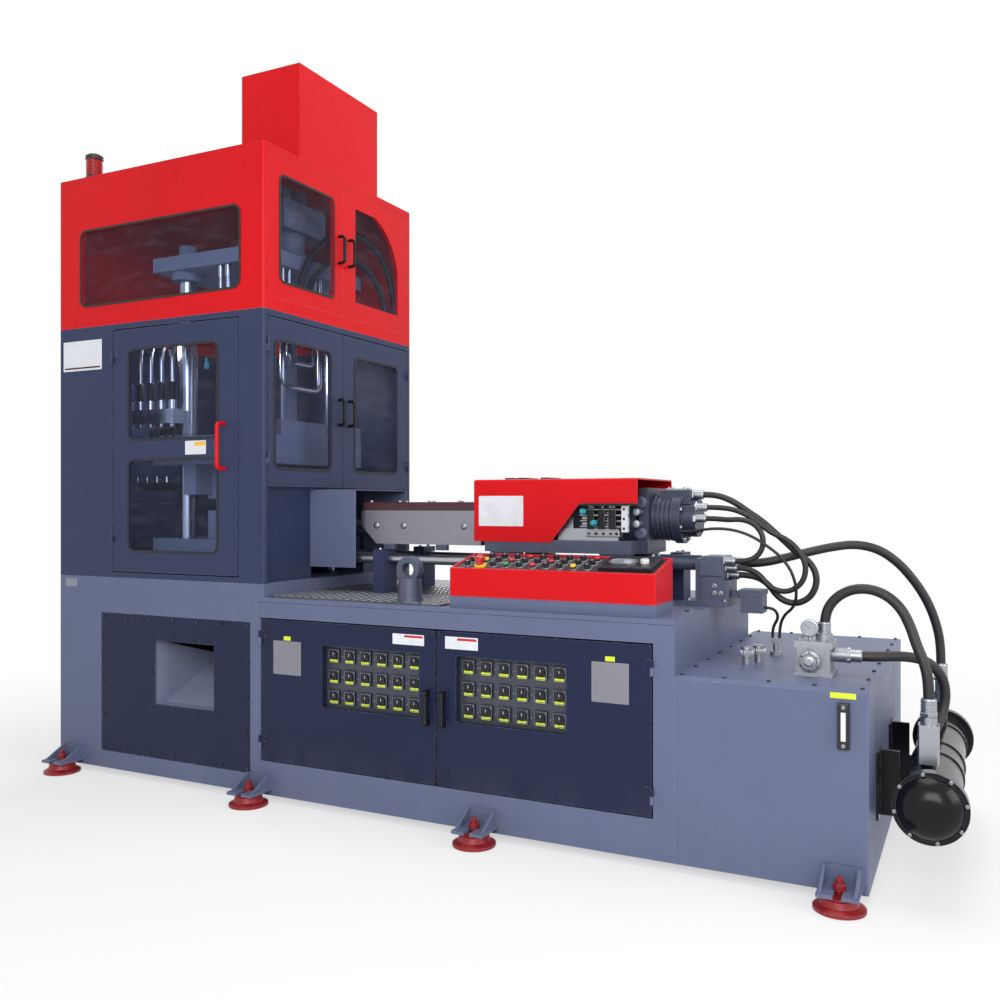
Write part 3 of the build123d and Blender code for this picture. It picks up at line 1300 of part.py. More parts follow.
with BuildPart() as hose_fittings:
    slab(
        BLOCK_X - BLOCK_HALF,
        BLOCK_X + BLOCK_HALF,
        NEAR_PORT_Y - BLOCK_HALF,
        NEAR_PORT_Y + BLOCK_HALF,
        BLOCK_Z0,
        BLOCK_Z1,
    )
    chamfer(hose_fittings.edges().filter_by(Axis.Z), 5)
    rod_z(BLOCK_X, NEAR_PORT_Y, BLOCK_Z1, BLOCK_Z1 + 24, 27)
    rod_z(BLOCK_X, NEAR_PORT_Y, BLOCK_Z1 + 24, BLOCK_Z1 + 88, 22)
    side_port_y = NEAR_PORT_Y + BLOCK_HALF
    rod_y(BLOCK_X, side_port_y, side_port_y + 26, SIDE_PORT_Z, 24)
    rod_z(COOLER_X, FAR_PORT_Y, 520, 560, 27)
    rod_z(COOLER_X, FAR_PORT_Y, 560, 676, 22)
    for (x, y, z), hose_width in machine_ports:
        rod_x(x, x + FERRULE, y, z, hose_width / 2 + FERRULE_WALL)
save(hose_fittings, "hose_fittings")

# Feet: a welded bracket with a slot and two gussets, and a flared pad with its stud
FOOT_X = (LEFT + 105, LEFT + 1290, LEFT + 2417)
TANK_FOOT_X = LEFT + 3770
BRACKET_HALF = 67
BRACKET_REACH = 140
SLOT = 28
GUSSET = 10
GUSSET_TOP = 120
STUD_R = 11

feet = [(x, FRONT, -1) for x in FOOT_X] + [(x, TOWER_BACK, 1) for x in FOOT_X]
feet += [(TANK_FOOT_X, FRONT, -1), (TANK_FOOT_X, TANK_BACK, 1)]


def outward(y, side, *distances):
    """Places measured out from a frame face, lowest first."""
    return sorted(y + side * distance for distance in distances)


with BuildPart() as mount_brackets:
    plate_top = PAD_TOP + BRACKET_PLATE
    for x, y, side in feet:
        y0, y1 = outward(y, side, 0, BRACKET_REACH)
        slab(x - BRACKET_HALF, x + BRACKET_HALF, y0, y1, PAD_TOP, plate_top)
        y0, y1 = outward(y, side, 0, GUSSET)
        slab(x - BRACKET_HALF, x + BRACKET_HALF, y0, y1, plate_top, GUSSET_TOP)
        for gusset_x in (x - BRACKET_HALF + 6, x + BRACKET_HALF - 6 - GUSSET):
            with BuildSketch(side_plane(gusset_x)):
                with BuildLine():
                    Polyline(
                        (y + side * GUSSET, plate_top),
                        (y + side * (BRACKET_REACH - 16), plate_top),
                        (y + side * (GUSSET + 8), GUSSET_TOP),
                        (y + side * GUSSET, GUSSET_TOP),
                        close=True,
                    )
                make_face()
            extrude(amount=GUSSET)
        y0, y1 = outward(y, side, FOOT_OUT, BRACKET_REACH + 1)
        slab(x - SLOT / 2, x + SLOT / 2, y0, y1, PAD_TOP - 1, plate_top + 1, Mode.SUBTRACT)
        rod_z(x, y + side * FOOT_OUT, PAD_TOP - 1, plate_top + 1, SLOT / 2, Mode.SUBTRACT)
save(mount_brackets, "mount_brackets")

with BuildPart() as mount_pads:
    for x, y, side in feet:
        with BuildSketch(front_plane(y + side * FOOT_OUT)):
            with BuildLine():
                Polyline(
                    (x, 0),
                    (x + PAD_R, 0),
                    (x + PAD_R, 10),
                    (x + 64, 22),
                    (x + 58, 40),
                    (x + 66, PAD_TOP),
                    (x + STUD_R, PAD_TOP),
                    (x + STUD_R, plate_top),
                    (x + 21, plate_top),
                    (x + 21, plate_top + 20),
                    (x + STUD_R, plate_top + 20),
                    (x + STUD_R, plate_top + 42),
                    (x, plate_top + 42),
                    close=True,
                )
            make_face()
        revolve(axis=Axis((x, y + side * FOOT_OUT, 0), (0, 0, 1)))
save(mount_pads, "mount_pads")

def hose(name, diameter, points):
    """A round hose of straight runs joined by the largest arcs that the runs allow."""
    corners = [Vector(*point) for point in points]
    radii = []
    for before, here, after in zip(corners, corners[1:], corners[2:]):
        run_in = here - before
        run_out = after - here
        half_turn = math.radians(run_in.get_angle(run_out)) / 2
        radii.append(0.45 * min(run_in.length, run_out.length) / math.tan(half_turn))
    with BuildPart() as tube:
        with BuildLine() as route:
            FilletPolyline(*corners, radius=radii)
        with BuildSketch(Plane(corners[0], z_dir=corners[1] - corners[0])):
            Circle(diameter / 2)
        sweep(path=route.wire())
    hose_length = route.wire().length
    wanted = math.pi * diameter**2 / 4 * hose_length
    print(
        name,
        "length",
        round(hose_length),
        "smallest radius in diameters",
        round(min(radii) / diameter, 1),
        "volume ratio",
        round(tube.part.volume / wanted, 4),
    )
    save(tube, name)


def from_corner(*places):
    """Places given from the tower's left front corner, X to the right and Y to the back."""
    return [(LEFT + x, FRONT + y, z) for x, y, z in places]


CABLE = 12
CLAMP_HOSE = 32

# Big hoses from the filter and the rear bracket to the cooler
hose(
    "hose_filter_top",
    BIG_HOSE,
    from_corner(
        (3673, 278, 852),
        (3673, 278, 919),
        (3704.5, 275, 978),
        (3759.5, 269.5, 1015.5),
        (3825.5, 263, 1023.5),
        (3888, 255, 1002),
        (3936.5, 246.5, 956.5),
        (3965.5, 239, 896),
        (3985.5, 227.5, 834),
        (4011, 216.5, 775.5),
        (4024, 210, 714),
        (4024, 210, 660),
    ),
)
hose(
    "hose_filter_side",
    BIG_HOSE,
    from_corner(
        (3762, 278, 778),
        (3808, 278, 778),
        (3863, 288, 779.5),
        (3914.5, 305.5, 782.5),
        (3964, 331, 779),
        (4009, 364.5, 763),
        (4045, 396.5, 729),
        (4066, 420.5, 679.5),
        (4069, 429, 621.5),
        (4057, 416.5, 565),
        (4038, 381, 522),
        (4024, 328, 500),
        (4024, 269, 500),
    ),
)
hose(
    "hose_return",
    BIG_HOSE,
    from_corner(
        (3293, 632.5, 1078),
        (3367, 632.5, 1078),
        (3473, 662, 1105),
        (3558, 693, 1129),
        (3641, 730, 1149),
        (3725, 768, 1160),
        (3807, 805, 1141),
        (3876, 839, 1090),
        (3932, 867, 1022),
        (3980, 891, 944),
        (4014, 910, 858),
        (4036, 924, 756),
        (4036, 924, 676),
    ),
)

# Three smaller hoses loop out from the motor and back to the rear bracket
hose(
    "hose_loop_a",
    LOOP_A,
    from_corner(
        (3145, 600.5, 1362),
        (3199, 600.5, 1362),
        (3271, 600, 1332),
        (3325.5, 600, 1293),
        (3380, 600, 1257),
        (3429, 599, 1213.5),
        (3477.5, 598.5, 1170),
        (3523.5, 598, 1125),
        (3579.5, 598, 1086.5),
        (3602.5, 598, 1023.5),
        (3581.5, 598, 957),
        (3522, 598.5, 920.5),
        (3454, 599, 937.5),
        (3406, 599.5, 1003.5),
        (3350, 600.5, 1032),
        (3293, 600.5, 1032),
    ),
)
hose(
    "hose_loop_b",
    LOOP_B,
    from_corner(
        (3169, 564.5, 1309),
        (3215, 564.5, 1309),
        (3278, 563.5, 1301.5),
        (3334.5, 562.5, 1277.5),
        (3382.5, 562.5, 1241.5),
        (3432, 562, 1205.5),
        (3490.5, 561, 1181.5),
        (3537, 560, 1139),
        (3566.5, 559.5, 1076),
        (3550.5, 559.5, 1008),
        (3492, 560, 969.5),
        (3423.5, 561.5, 984),
        (3381.5, 562, 1040),
        (3333, 562.5, 1062),
        (3293, 562.5, 1062),
    ),
)
hose(
    "hose_loop_c",
    LOOP_B,
    from_corner(
        (3169, 546.5, 1263),
        (3208, 546.5, 1263),
        (3259.5, 542, 1258),
        (3309.5, 540, 1262),
        (3358, 537.5, 1249),
        (3394, 535, 1213.5),
        (3405, 533, 1165),
        (3386, 531.5, 1118.5),
        (3343, 530.5, 1092),
        (3293, 530.5, 1092),
    ),
)

# Two thin cables go to the fitting on the tank cover
hose(
    "cable_motor",
    CABLE,
    from_corner(
        (3066, 520.5, 1210),
        (3125, 520.5, 1210),
        (3185, 507.5, 1222),
        (3248.5, 505.5, 1224),
        (3310.5, 509.5, 1214),
        (3369.5, 510.5, 1190.5),
        (3422.5, 507.5, 1157),
        (3473, 508.5, 1118),
        (3511, 514, 1068),
        (3530, 524.5, 1009),
        (3528.5, 549, 951),
        (3509, 589.5, 907),
        (3468, 624, 874.5),
        (3446, 641, 825),
        (3446, 641, 776),
    ),
)
hose(
    "cable_junction",
    CABLE,
    from_corner(
        (3398, 588.5, 903),
        (3420, 588.5, 903),
        (3438, 594, 893),
        (3446, 605, 874),
        (3441, 619, 853),
        (3428, 633, 834),
        (3418, 641, 808),
        (3418, 641, 776),
    ),
)

# Two hoses arch inside the red housing, between brackets below its windows
hose(
    "hose_clamp_a",
    CLAMP_HOSE,
    from_corner(
        (1160, 440, 2255),
        (1160, 440, 2330),
        (1158, 452, 2405),
        (1158, 482, 2490),
        (1160, 532, 2572),
        (1166, 600, 2645),
        (1176, 684, 2702),
        (1190, 776, 2738),
        (1206, 870, 2748),
        (1222, 960, 2728),
        (1236, 1040, 2678),
        (1246, 1098, 2602),
        (1251, 1128, 2514),
        (1257, 1145, 2426),
        (1255, 1140, 2338),
        (1255, 1140, 2255),
    ),
)
hose(
    "hose_clamp_b",
    CLAMP_HOSE,
    from_corner(
        (1160, 496, 2255),
        (1160, 496, 2318),
        (1160, 510, 2388),
        (1160, 548, 2456),
        (1163, 606, 2520),
        (1172, 676, 2572),
        (1186, 756, 2606),
        (1202, 840, 2612),
        (1218, 918, 2588),
        (1232, 984, 2542),
        (1243, 1034, 2474),
        (1250, 1060, 2396),
        (1255, 1068, 2322),
        (1255, 1068, 2255),
    ),
)
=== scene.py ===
# %% [markdown]
# # A stretch blow moulding machine
# The machine's shape comes from its CAD model, which is loaded first and stays as it is.
# This notebook gives it hoses, paint, steel, glass and the small fittings that a maker adds last.

# %% Load the frame
import math

import bpy
from mathutils import Matrix, Vector


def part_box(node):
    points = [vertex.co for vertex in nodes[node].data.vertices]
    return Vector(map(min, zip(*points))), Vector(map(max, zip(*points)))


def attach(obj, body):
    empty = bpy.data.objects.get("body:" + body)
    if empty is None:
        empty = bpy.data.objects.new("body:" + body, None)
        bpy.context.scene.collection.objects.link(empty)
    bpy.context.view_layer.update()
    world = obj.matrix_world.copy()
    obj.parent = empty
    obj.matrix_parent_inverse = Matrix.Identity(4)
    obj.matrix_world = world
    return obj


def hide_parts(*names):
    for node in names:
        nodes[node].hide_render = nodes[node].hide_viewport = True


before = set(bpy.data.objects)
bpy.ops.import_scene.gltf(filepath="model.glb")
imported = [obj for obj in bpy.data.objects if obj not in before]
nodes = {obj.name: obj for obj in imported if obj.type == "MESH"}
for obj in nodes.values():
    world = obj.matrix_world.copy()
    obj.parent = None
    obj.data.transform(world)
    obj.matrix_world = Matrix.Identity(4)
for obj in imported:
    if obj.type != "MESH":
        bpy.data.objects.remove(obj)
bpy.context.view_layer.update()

# %% [markdown]
# ## Places
# A fitter measures from the corner of the machine. So places here are millimetres from the
# tower's left front corner on the floor, and one small function turns them into metres.

# %% Places in the machine's frame
LEFT = -2077.5
FRONT = -685.0
CONSOLE_LEFT = 2247
MACHINE = "machine"


def spot(x, y, z):
    """A place in metres, from millimetres measured at the tower's left front corner."""
    return Vector(((LEFT + x) / 1000, (FRONT + y) / 1000, z / 1000))


def deselect():
    """Nothing stays selected, so the next operator works on the new piece alone."""
    if bpy.context.object and bpy.context.object.mode != "OBJECT":
        bpy.ops.object.mode_set(mode="OBJECT")
    bpy.ops.object.select_all(action="DESELECT")


deselect()
print("tower corner", spot(0, 0, 0))

# %% [markdown]
# ## Camera
# The picture was taken at eye height from the right of the front, with upright lines kept
# upright. A level camera with a small shift does the same.

# %% Camera
camera_data = bpy.data.cameras.new("studio_camera")
camera_data.sensor_width = 36
camera_data.lens = 34.71
camera_data.shift_x = -0.0070
camera_data.shift_y = 0.0040
camera = bpy.data.objects.new("studio_camera", camera_data)
camera.location = (2.1144, -4.0620, 1.323)
camera.rotation_euler = (math.radians(90), 0, math.radians(26.304))
bpy.context.scene.collection.objects.link(camera)
bpy.context.scene.camera = camera
print("camera at", tuple(camera.location))

# %% [markdown]
# ## Hoses and cables
# Hydraulic hose is stiff: it leaves a fitting straight and bends in wide arcs. Each one is a
# NURBS curve whose control points are the hose's route. A bevel of one metre takes its size from
# the radius of each point, so the curve's own bounds are those of the hose.

# %% Hoses and cables
HOSES = {
    "hose_filter_top": (36, 710, "stiff", (
        (3673, 278, 852), (3673, 278, 919), (3704.5, 275, 978), (3759.5, 269.5, 1015.5),
        (3825.5, 263, 1023.5), (3888, 255, 1002), (3936.5, 246.5, 956.5), (3965.5, 239, 896),
        (3985.5, 227.5, 834), (4011, 216.5, 775.5), (4024, 210, 714), (4024, 210, 660))),
    "hose_filter_side": (36, 677, "stiff", (
        (3762, 278, 778), (3808, 278, 778), (3863, 288, 779.5), (3914.5, 305.5, 782.5),
        (3964, 331, 779), (4009, 364.5, 763), (4045, 396.5, 729), (4066, 420.5, 679.5),
        (4069, 429, 621.5), (4057, 416.5, 565), (4038, 381, 522), (4024, 328, 500),
        (4024, 269, 500))),
    "hose_return": (36, 1114, "stiff", (
        (3293, 632.5, 1078), (3367, 632.5, 1078), (3473, 662, 1105), (3558, 693, 1129),
        (3641, 730, 1149), (3725, 768, 1160), (3807, 805, 1141), (3876, 839, 1090),
        (3932, 867, 1022), (3980, 891, 944), (4014, 910, 858), (4036, 924, 756),
        (4036, 924, 676))),
    "hose_loop_a": (26, 990, "medium", (
        (3145, 600.5, 1362), (3199, 600.5, 1362), (3271, 600, 1332), (3325.5, 600, 1293),
        (3380, 600, 1257), (3429, 599, 1213.5), (3477.5, 598.5, 1170), (3523.5, 598, 1125),
        (3579.5, 598, 1086.5), (3602.5, 598, 1023.5), (3581.5, 598, 957), (3522, 598.5, 920.5),
        (3454, 599, 937.5), (3406, 599.5, 1003.5), (3350, 600.5, 1032), (3293, 600.5, 1032))),
    "hose_loop_b": (22, 846, "medium", (
        (3169, 564.5, 1309), (3215, 564.5, 1309), (3278, 563.5, 1301.5), (3334.5, 562.5, 1277.5),
        (3382.5, 562.5, 1241.5), (3432, 562, 1205.5), (3490.5, 561, 1181.5), (3537, 560, 1139),
        (3566.5, 559.5, 1076), (3550.5, 559.5, 1008), (3492, 560, 969.5), (3423.5, 561.5, 984),
        (3381.5, 562, 1040), (3333, 562.5, 1062), (3293, 562.5, 1062))),
    "hose_loop_c": (22, 436, "medium", (
        (3169, 546.5, 1263), (3208, 546.5, 1263), (3259.5, 542, 1258), (3309.5, 540, 1262),
        (3358, 537.5, 1249), (3394, 535, 1213.5), (3405, 533, 1165), (3386, 531.5, 1118.5),
        (3343, 530.5, 1092), (3293, 530.5, 1092))),
    "cable_motor": (12, 852, "medium", (
        (3066, 520.5, 1210), (3125, 520.5, 1210), (3185, 507.5, 1222), (3248.5, 505.5, 1224),
        (3310.5, 509.5, 1214), (3369.5, 510.5, 1190.5), (3422.5, 507.5, 1157),
        (3473, 508.5, 1118), (3511, 514, 1068), (3530, 524.5, 1009), (3528.5, 549, 951),
        (3509, 589.5, 907), (3468, 624, 874.5), (3446, 641, 825), (3446, 641, 776))),
    "cable_junction": (12, 178, "medium", (
        (3398, 588.5, 903), (3420, 588.5, 903), (3438, 594, 893), (3446, 605, 874),
        (3441, 619, 853), (3428, 633, 834), (3418, 641, 808), (3418, 641, 776))),
    "hose_clamp_a": (32, 1368, "stiff", (
        (1160, 440, 2255), (1160, 440, 2330), (1158, 452, 2405), (1158, 482, 2490),
        (1160, 532, 2572), (1166, 600, 2645), (1176, 684, 2702), (1190, 776, 2738),
        (1206, 870, 2748), (1222, 960, 2728), (1236, 1040, 2678), (1246, 1098, 2602),
        (1251, 1128, 2514), (1257, 1145, 2426), (1255, 1140, 2338), (1255, 1140, 2255))),
    "hose_clamp_b": (32, 1029, "stiff", (
        (1160, 496, 2255), (1160, 496, 2318), (1160, 510, 2388), (1160, 548, 2456),
        (1163, 606, 2520), (1172, 676, 2572), (1186, 756, 2606), (1202, 840, 2612),
        (1218, 918, 2588), (1232, 984, 2542), (1243, 1034, 2474), (1250, 1060, 2396),
        (1255, 1068, 2322), (1255, 1068, 2255))),
}


NURBS_ORDER = 3


def lay_hose(name, diameter, route):
    """A hose as one smooth NURBS curve with a round wall."""
    data = bpy.data.curves.new(name, "CURVE")
    data.dimensions = "3D"
    data.bevel_depth = 1.0
    data.bevel_resolution = 5
    data.use_fill_caps = True
    spline = data.splines.new("NURBS")
    spline.points.add(len(route) - 1)
    for point, place in zip(spline.points, route):
        point.co = (*spot(*place), 1)
        point.radius = diameter / 2000
    spline.order_u = NURBS_ORDER
    spline.use_endpoint_u = True
    spline.resolution_u = 8
    hose = bpy.data.objects.new(f"{name}_line", data)
    bpy.context.scene.collection.objects.link(hose)
    return hose


hoses = {}
for name, (diameter, length, stiffness, route) in HOSES.items():
    hose = lay_hose(name, diameter, route)
    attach(hose, MACHINE)
    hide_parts(name)
    hoses[name] = hose
print("laid", len(hoses), "hoses and cables")

# %% [markdown]
# ## A small kit for finishes
# A finish is a Principled shader with patterns behind it. Wrapping a socket lets the maths of
# a pattern read like maths, and one method adds any other node.

# %% Socket maths
def sign(operation, from_the_right=False):
    """A method for one of Python's signs, which adds one Math node."""
    def method(self, other):
        first, second = (other, self) if from_the_right else (self, other)
        return self.maths(operation, first, second)
    return method


class Wire:
    """A node's socket that can stand in an expression; each sign adds its own Math node."""

    def __init__(self, tree, socket):
        self.tree = tree
        self.socket = socket

    def maths(self, operation, first, second=0.0):
        node = self.tree.nodes.new("ShaderNodeMath")
        node.operation = operation
        feed(self.tree, node.inputs[0], first)
        feed(self.tree, node.inputs[1], second)
        return Wire(self.tree, node.outputs[0])

    __add__ = sign("ADD")
    __radd__ = sign("ADD", True)
    __sub__ = sign("SUBTRACT")
    __rsub__ = sign("SUBTRACT", True)
    __mul__ = sign("MULTIPLY")
    __truediv__ = sign("DIVIDE")
    __gt__ = sign("GREATER_THAN")
    __lt__ = sign("LESS_THAN")

    def limited(self):
        """The same value, kept between 0 and 1."""
        return self.maths("MINIMUM", self.maths("MAXIMUM", self, 0.0), 1.0)


def feed(tree, socket, value):
    """Links a wire into a socket, or sets the socket's own number."""
    if isinstance(value, Wire):
        tree.links.new(value.socket, socket)
    else:
        socket.default_value = value


def paint(red, green, blue):
    """A colour as written in a paint shop's screen values, made linear."""
    linear = []
    for value in (red, green, blue):
        share = value / 255
        linear.append(share / 12.92 if share <= 0.04045 else ((share + 0.055) / 1.055) ** 2.4)
    return (*linear, 1.0)


# %% [markdown]
# One class holds a whole material. Its pattern nodes all read the place on the object, so two
# parts that meet carry the pattern on from one to the other.

# %% A finish
def socket_name(key):
    """The shader's own name of a socket, from a Python name such as base_color."""
    return key.replace("_", " ").title()


class Finish:
    """A material with one Principled shader, and the nodes that feed it."""

    def __init__(self, name, **constants):
        self.material = bpy.data.materials.new(name)
        self.material.use_nodes = True
        self.tree = self.material.node_tree
        self.tree.nodes.clear()
        self.output = self.tree.nodes.new("ShaderNodeOutputMaterial")
        self.shader = self.tree.nodes.new("ShaderNodeBsdfPrincipled")
        self.tree.links.new(self.shader.outputs[0], self.output.inputs[0])
        for key, value in constants.items():
            self.shader.inputs[socket_name(key)].default_value = value
        coordinates = self.tree.nodes.new("ShaderNodeTexCoord")
        self.place = Wire(self.tree, coordinates.outputs["Object"])
        split = self.node("ShaderNodeSeparateXYZ", {}, {"Vector": self.place}, None)
        self.x, self.y, self.z = (Wire(self.tree, socket) for socket in split.outputs)

    def node(self, kind, settings, sockets, out=0):
        """Any node: its settings first, then its sockets; gives back one output, or the node."""
        node = self.tree.nodes.new(kind)
        for key, value in settings.items():
            setattr(node, key, value)
        for key, value in sockets.items():
            feed(self.tree, node.inputs[key], value)
        return node if out is None else Wire(self.tree, node.outputs[out])

    def noise(self, scale, detail=4.0, stretch=None, roughness=0.55):
        """Noise of a given scale, per metre, stretched along an axis if wanted."""
        place = self.place
        if stretch:
            place = self.node("ShaderNodeMapping", {}, {"Vector": place, "Scale": stretch})
        values = {"Vector": place, "Scale": scale, "Detail": detail, "Roughness": roughness}
        return self.node("ShaderNodeTexNoise", {}, values)

    def blend(self, share, first, second):
        """One colour over another."""
        return self.node("ShaderNodeMix", {"data_type": "RGBA"}, {0: share, 6: first, 7: second}, 2)

    def edges(self, radius=0.005):
        """1 near an outer edge and 0 on a flat face."""
        soft = self.node("ShaderNodeBevel", {"samples": 4}, {"Radius": radius})
        hard = self.node("ShaderNodeNewGeometry", {}, {}, 1)
        along = self.node("ShaderNodeVectorMath", {"operation": "DOT_PRODUCT"}, {0: soft, 1: hard}, 1)
        return ((1.0 - along) * 5.0).limited()

    def use(self, **inputs):
        """Feeds the shader's own sockets."""
        for key, value in inputs.items():
            feed(self.tree, self.shader.inputs[socket_name(key)], value)

    def bump(self, height, distance, strength=1.0):
        """Feeds the surface's height as bump."""
        normal = self.node(
            "ShaderNodeBump", {}, {"Height": height, "Distance": distance, "Strength": strength}
        )
        self.use(normal=normal)


def dress(finish, *names):
    """Puts a finish on CAD nodes."""
    for name in names:
        materials = nodes[name].data.materials
        if not materials:
            materials.append(finish.material)
        for index in range(len(materials)):
            materials[index] = finish.material


def shade(colour, amount):
    """A colour made lighter or darker."""
    return tuple(min(1.0, part * amount) for part in colour[:3]) + (1.0,)


print("kit for finishes ready")

# %% [markdown]
# ## Paint
# Machine paint is sprayed satin: a fine orange peel, a slow drift in tone from pass to pass,
# dust that settles low down, and a thin pale line along the edges that is partly rubbed wear and
# partly a painted highlight where light catches the edge. One recipe serves all the painted
# parts, with their own colour and shine.

# %% Sprayed paint
TOWER_GREY = paint(52, 60, 90)
BED_GREY = paint(100, 108, 137)
NAVY = paint(30, 38, 66)
RED = paint(212, 14, 24)
PALE_GREY = paint(150, 158, 178)
DUST = paint(128, 126, 128)
BLACK = paint(22, 22, 26)
SATIN = 0.18


def sprayed(name, colour, roughness=0.42, peel=0.00025, wear_and_highlight=0.35, dusty=0.25, coat=0.0):
    """Satin machine paint with orange peel, drift in tone, low dust, and pale edges that are partly
    rubbed wear and partly painted highlight.
    """
    finish = Finish(name, metallic=0.0, coat_roughness=0.25, coat_weight=coat)
    finish.shader.inputs["Specular IOR Level"].default_value = SATIN
    drift = finish.noise(1.6, 3.0)
    mottle = finish.noise(38.0, 5.0)
    tone = finish.blend(drift, shade(colour, 0.86), shade(colour, 1.12))
    tone = finish.blend(mottle * 0.25, tone, shade(colour, 0.78))
    low = ((0.32 - finish.z) * 2.6).limited()
    streaks = finish.noise(9.0, 6.0, (1.0, 1.0, 0.12))
    dust = low * ((streaks - 0.42) * 3.0).limited() * dusty
    tone = finish.blend(dust, tone, DUST)
    # Pale broken line at outer edges: partly rubbed wear, partly a painted highlight where light catches
    # the edge.
    edge_wear_and_highlight = finish.edges() * ((finish.noise(60.0, 6.0) - 0.38) * 3.5).limited() * wear_and_highlight
    tone = finish.blend(edge_wear_and_highlight, tone, shade(PALE_GREY, 1.3))
    smear = finish.noise(5.0, 4.0, (0.5, 0.5, 2.0))
    finish.use(base_color=tone)
    finish.use(roughness=(roughness - 0.08) + smear * 0.16 + dust * 0.3)
    finish.bump(finish.noise(420.0, 2.0), peel, 0.6)
    return finish


tower_paint = sprayed("tower_paint", TOWER_GREY, 0.40, 0.0004)
bed_paint = sprayed("bed_paint", BED_GREY, 0.44)
navy_paint = sprayed("navy_paint", NAVY, 0.36, dusty=0.08)
red_paint = sprayed("red_paint", RED, 0.34, wear_and_highlight=0.15, dusty=0.1)
press_paint = sprayed("press_paint", PALE_GREY, 0.46, wear_and_highlight=0.6)
dress(tower_paint, "front_wall", "side_wall", "back_walls")
dress(bed_paint, "plinth_walls", "bed_frame", "bed_top_plate", "nozzle_guard")
dress(bed_paint, "oil_tank", "tank_cover", "mount_brackets")
dress(navy_paint, "plinth_cover_panel")
dress(red_paint, "upper_housing", "top_box", "injection_hood")
dress(press_paint, "platens", "clamp_cylinder", "hose_brackets")
print("five sprayed finishes")

# %% [markdown]
# ## Two finishes on one part
# The doors carry handles of another colour, and the console's red box stands on a grey base.
# A mask made from the place on the part picks the second colour, so no seam is needed.

# %% Doors with coloured handles
def metres(x=None, y=None, z=None):
    """One coordinate in metres, measured as in spot()."""
    if x is not None:
        return (LEFT + x) / 1000
    if y is not None:
        return (FRONT + y) / 1000
    return z / 1000


def two_tone(name, first, mask_of, second, roughness=0.4, second_rough=0.35, peel=0.0003):
    """Sprayed paint with a second colour where mask_of(finish) is 1."""
    finish = sprayed(name, first, roughness, peel)
    tone = finish.shader.inputs["Base Color"].links[0].from_socket
    rough = finish.shader.inputs["Roughness"].links[0].from_socket
    mask = mask_of(finish)
    finish.use(base_color=finish.blend(mask, Wire(finish.tree, tone), second))
    finish.use(roughness=Wire(finish.tree, rough) * (1.0 - mask) + mask * second_rough)
    return finish


def between(wire, low, high):
    """1 where a coordinate lies between two values in metres, and 0 elsewhere."""
    return (wire > low) * (wire < high)


def front_handle(finish):
    return (finish.x > metres(x=1070)) * (finish.y < metres(y=-6))


def side_handle(finish):
    return (finish.x > metres(x=1318)) * between(finish.y, metres(y=520), metres(y=666))


def cabinet_grips(finish):
    return between(finish.x, metres(x=2140), metres(x=2264)) * (finish.y < metres(y=-2))


def console_base(finish):
    return finish.z < metres(z=951)


front_door_paint = two_tone("front_door_paint", TOWER_GREY, front_handle, RED)
side_door_paint = two_tone("side_door_paint", TOWER_GREY, side_handle, BLACK)
red_door_paint = two_tone("red_door_paint", RED, side_handle, BLACK, 0.3)
grip_paint = two_tone("grip_paint", NAVY, cabinet_grips, BLACK, 0.36)
console_paint = two_tone("console_paint", RED, console_base, BED_GREY, 0.3)
dress(front_door_paint, "front_guard_door")
dress(side_door_paint, "side_door_near", "side_door_far")
dress(red_door_paint, "upper_doors")
dress(grip_paint, "cabinet_door_left", "cabinet_door_right")
dress(console_paint, "control_console")
print("five two-tone finishes")

# %% [markdown]
# ## Steel
# Ground bars show fine rings round their axis, sheet shows a brushed grain along its length,
# and castings are grainy. Each pattern is noise stretched along the tool's path. The guide rails
# are bright steel on painted supports, so a mask turns the metal off where the paint is.

# %% Steel and castings
def steel(name, colour, roughness, stretch, grain=180.0, depth=0.00008, wear_and_highlight=0.5, metallic=1.0):
    """Bare metal with a grain stretched along the way it was worked."""
    finish = Finish(name, metallic=metallic)
    scratches = finish.noise(grain, 8.0, stretch, 0.7)
    cloud = finish.noise(7.0, 4.0)
    tone = finish.blend(scratches, shade(colour, 0.72), shade(colour, 1.18))
    tone = finish.blend(cloud * 0.35, tone, shade(colour, 0.6))
    # Brighter line along every edge: a painted highlight where light catches the edge, partly standing
    # for rubbed wear.
    edge_wear_and_highlight = finish.edges(0.003) * wear_and_highlight
    finish.use(base_color=finish.blend(edge_wear_and_highlight, tone, shade(colour, 1.5)))
    finish.use(roughness=(roughness - 0.08) + scratches * 0.16 + cloud * 0.08)
    finish.bump(scratches, depth, 0.7)
    return finish


def casting(name, colour, roughness=0.55, metallic=0.3):
    """A painted or raw casting: pebbled skin, darker hollows, and bright edges that are partly rubbed
    wear and partly painted highlight.
    """
    finish = Finish(name, metallic=metallic)
    pebbles = finish.noise(260.0, 6.0, roughness=0.65)
    stains = finish.noise(11.0, 5.0)
    tone = finish.blend(pebbles, shade(colour, 0.75), shade(colour, 1.2))
    tone = finish.blend(((stains - 0.45) * 2.5).limited() * 0.5, tone, shade(colour, 0.45))
    # Bright broken line at outer edges: partly rubbed wear, partly a painted highlight where light
    # catches the edge.
    edge_wear_and_highlight = finish.edges(0.004) * ((finish.noise(70.0, 4.0) - 0.35) * 3.0).limited() * 0.7
    finish.use(base_color=finish.blend(edge_wear_and_highlight, tone, shade(PALE_GREY, 1.2)))
    finish.use(roughness=(roughness - 0.06) + pebbles * 0.18)
    finish.bump(pebbles, 0.0006, 0.8)
    return finish


def rail_supports(finish):
    front_one = between(finish.x, metres(x=1638), metres(x=1702))
    return front_one + between(finish.x, metres(x=2958), metres(x=3022))


